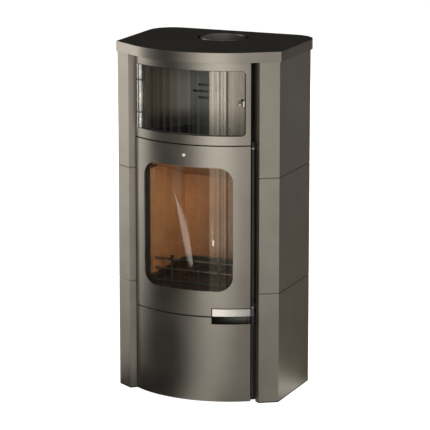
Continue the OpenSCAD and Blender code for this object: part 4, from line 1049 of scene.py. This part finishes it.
def ease_spigot():
    spigot = ease_edges("flue_spigot", 0.0010, "spigot")
    paint_faces(spigot, "polished", lambda face: face.center.z > SPIGOT_RIM)


# The upright tube that the glass door turns on

TUBE_X = -0.1869
TUBE_Y = -0.1449
TUBE_RADIUS = 0.0110
TUBE_ROUNDING = 0.0032
KNUCKLES = ((0.8780, 0.9300), (1.0360, 1.0880))
SLEEVE = (0.9305, 1.0355)


def tube_length(name, low, high):
    piece = turned(name, round_ended(high - low, TUBE_RADIUS, TUBE_ROUNDING, 6))
    return set_down(piece, (TUBE_X, TUBE_Y, low))


def make_hinge_tube():
    knuckles = [tube_length("knuckle", low, high) for low, high in KNUCKLES]
    settle(joined("hinge_tube_ends", knuckles), "chrome", "glass_hinge_knuckles")
    settle(tube_length("hinge_tube_sleeve", *SLEEVE), "chrome", "glass_hinge_sleeve")


# The grip of the glass door and the clamp that holds it

GRIP_AT = (0.1725, -0.1524, 0.984)
UPRIGHT_RINGS = [
    (0.0000, 0.0014), (0.0004, 0.0026), (0.0014, 0.0036), (0.0030, 0.0040), (0.0070, 0.0038),
    (0.0105, 0.0037), (0.0140, 0.0038), (0.0180, 0.0040), (0.0196, 0.0036), (0.0206, 0.0026),
    (0.0210, 0.0014),
]
STEM_RINGS = [(0.0000, 0.0030), (0.0160, 0.0030), (0.0162, 0.0044), (0.0176, 0.0044), (0.0180, 0.0040)]


def on_pane(piece, out, side=0.0, up=0.0):
    """Puts a form that was made facing -Y on the pane where the grip sits, so far out of it, aside and up."""
    turn = math.atan2(GRIP_AT[0], FRONT_AXIS_Y - GRIP_AT[1])
    across = (math.cos(turn), math.sin(turn))
    outward = (math.sin(turn), -math.cos(turn))
    place = (
        GRIP_AT[0] + side * across[0] + out * outward[0],
        GRIP_AT[1] + side * across[1] + out * outward[1],
        GRIP_AT[2] + up,
    )
    return set_down(piece, place, (0.0, 0.0, turn))


def make_glass_grip():
    upright = turned("glass_grip", UPRIGHT_RINGS, sides=32)
    on_pane(upright, out=0.0140, up=-0.0105)
    stem = turn_over(turned("glass_grip_stem", STEM_RINGS, sides=32), x=-1.0)
    on_pane(stem, out=0.0110)
    settle(joined("glass_grip", [upright, stem]), "polished", "glass_knob")
    plate = eased_block("grip_clamp", (0.0210, 0.0020, 0.0160), 0.0006)
    on_pane(plate, out=0.0011, side=-0.0045)
    back = eased_block("grip_clamp_back", (0.0120, 0.0020, 0.0140), 0.0006)
    on_pane(back, out=-0.0053)
    screw = hex_screw_head("grip_clamp_screw", radius=0.0040, height=0.0026, ease=0.0008,
                           socket=0.0017, deep=0.0018)
    on_pane(turn_over(screw, x=1.0), out=0.0020, side=-0.0100, up=-0.0050)
    paint(plate, "satin")
    paint(back, "satin")
    paint(screw, "polished")
    settle(joined("grip_clamp", [plate, back, screw]), None, "knob_clamp")


# The stud over the fire window

STUD_AT = (-0.0100, -0.2045, 0.8130)
STUD_RADIUS = 0.0060
STUD_SHANK = 0.0007
STUD_DOME = 0.0050


def make_stud():
    rings = [(0.0, STUD_RADIUS)]
    for step in range(11):
        turn = math.radians(84.0) * step / 10.0
        rings.append((STUD_SHANK + STUD_DOME * math.sin(turn), STUD_RADIUS * math.cos(turn)))
    stud = turn_over(turned("stud_head", rings), x=1.0)
    settle(set_down(stud, STUD_AT), "stud", "door_stud")


# Screws of the top plate and of the rear panel

TOP_SCREWS = [(-0.172, 0.070), (-0.172, 0.170), (0.172, 0.070), (0.172, 0.170)]
TOP_HEAD_Z = 1.1484
TOP_SHANK_Z = 1.1370
REAR_SCREW_X = 0.182
REAR_SCREW_Y = 0.2305
REAR_SCREW_HEIGHTS = (0.070, 0.575, 1.080)


def make_top_screws():
    head = hex_screw_head("top_screw_head", radius=0.0060, height=0.0010, ease=0.0003,
                          socket=0.0027, deep=0.0011)
    shank = turned("top_screw_shank", round_ended(0.0118, 0.0030, 0.0004, 2), sides=24)
    parts = []
    for pattern, z in ((head, TOP_HEAD_Z), (shank, TOP_SHANK_Z)):
        for number, (x, y) in enumerate(TOP_SCREWS):
            part = twin(pattern, "%s_%d" % (pattern.name, number))
            parts.append(set_down(part, (x, y, z)))
    put_away(head, shank)
    settle(joined("top_screw_heads", parts), "screw", "top_screws")


def make_rear_screws():
    head = hex_screw_head("rear_screw_head", radius=0.0045, height=0.0012, ease=0.0006,
                          socket=0.0019, deep=0.0012)
    turn_over(head, x=-1.0)
    parts = []
    for z in REAR_SCREW_HEIGHTS:
        for x in (-REAR_SCREW_X, REAR_SCREW_X):
            part = twin(head, "rear_screw_head_%d" % len(parts))
            parts.append(set_down(part, (x, REAR_SCREW_Y, z)))
    put_away(head)
    settle(joined("rear_screw_heads", parts), "zinc", "rear_panel_screws")


# The log guard: two rods through the eyes of two posts

GUARD_Y = -0.1119
GUARD_LEFT = -0.1590
GUARD_LENGTH = 0.2980
GUARD_RODS = (0.4110, 0.4440)
GUARD_POSTS = (-0.0940, 0.0740)
POST_Y = GUARD_Y + 0.0055
POST_Z = 0.4170
FOOT_Y = GUARD_Y + 0.0005
FOOT_Z = 0.3796
EYE_HALF = 0.0060
EYE_RINGS = [
    (0.0000, 0.0046), (0.0004, 0.0054), (0.0014, 0.0060),
    (0.0106, 0.0060), (0.0116, 0.0054), (0.0120, 0.0046),
]


def make_log_guard():
    rod = turn_over(turned("guard_rod", round_ended(GUARD_LENGTH, 0.0035, 0.0008, 3), sides=32), y=1.0)
    eye = turn_over(turned("guard_eye", EYE_RINGS, sides=32), y=1.0)
    bar = eased_block("guard_post", (0.0100, 0.0050, 0.0780), 0.0012)
    foot = eased_block("guard_foot", (0.0100, 0.0160, 0.0030), 0.0008)
    parts = []
    for level, z in enumerate(GUARD_RODS):
        part = set_down(twin(rod, "guard_rod_%d" % level), (GUARD_LEFT, GUARD_Y, z))
        paint(part, "rod")
        parts.append(part)
    for number, x in enumerate(GUARD_POSTS):
        standing = [
            set_down(twin(bar, "guard_post_%d" % number), (x, POST_Y, POST_Z)),
            set_down(twin(foot, "guard_foot_%d" % number), (x, FOOT_Y, FOOT_Z)),
        ]
        for level, z in enumerate(GUARD_RODS):
            part = twin(eye, "guard_eye_%d_%d" % (number, level))
            standing.append(set_down(part, (x - EYE_HALF, GUARD_Y, z)))
        for part in standing:
            paint(part, "iron")
        parts.extend(standing)
    put_away(rod, eye, bar, foot)
    settle(joined("log_guard_bars", parts), None, "log_guard")


FLOOR_SIDE = 60.0


def lay_floor():
    bpy.ops.object.select_all(action="DESELECT")
    bpy.ops.mesh.primitive_plane_add(size=1.0, location=(0.0, 0.0, 0.0))
    floor = bpy.context.active_object
    floor.name = "studio_floor"
    edit_all()
    bpy.ops.transform.resize(value=(FLOOR_SIDE, FLOOR_SIDE, 1.0))
    bpy.ops.mesh.subdivide(number_cuts=4)
    end_edit()
    floor.data.materials.append(make_floor("pale_studio_floor"))
    floor.visible_shadow = False


set_camera()
set_studio_light()
add_soft_light("front_soft_light", place=(3.3, -4.3, 1.9), aim=(0.0, 0.0, 0.55),
               size=2.2, power=260.0, tint=(1.0, 0.97, 0.93))
add_soft_light("back_soft_light", place=(-2.5, 4.8, 3.2), aim=(0.0, 0.0, 0.6),
               size=2.6, power=160.0, tint=(1.0, 0.98, 0.96))
lay_floor()
finish_cad_nodes()

ease_cladding()
ease_curved_front()
ease_edges("handle_grip", 0.0008, "grip")
ease_edges("handle_bar", 0.0005, "inner")
ease_edges("door_rope", 0.0026, "rope", steps=3)
for name, width, finish in EASED_INSIDE:
    ease_edges(name, width, finish)
ease_compartment_liner()
ease_spigot()
make_hinge_tube()
make_glass_grip()
make_stud()
make_top_screws()
make_rear_screws()
make_log_guard()

scene.view_settings.view_transform = "Standard"
scene.view_settings.look = "None"
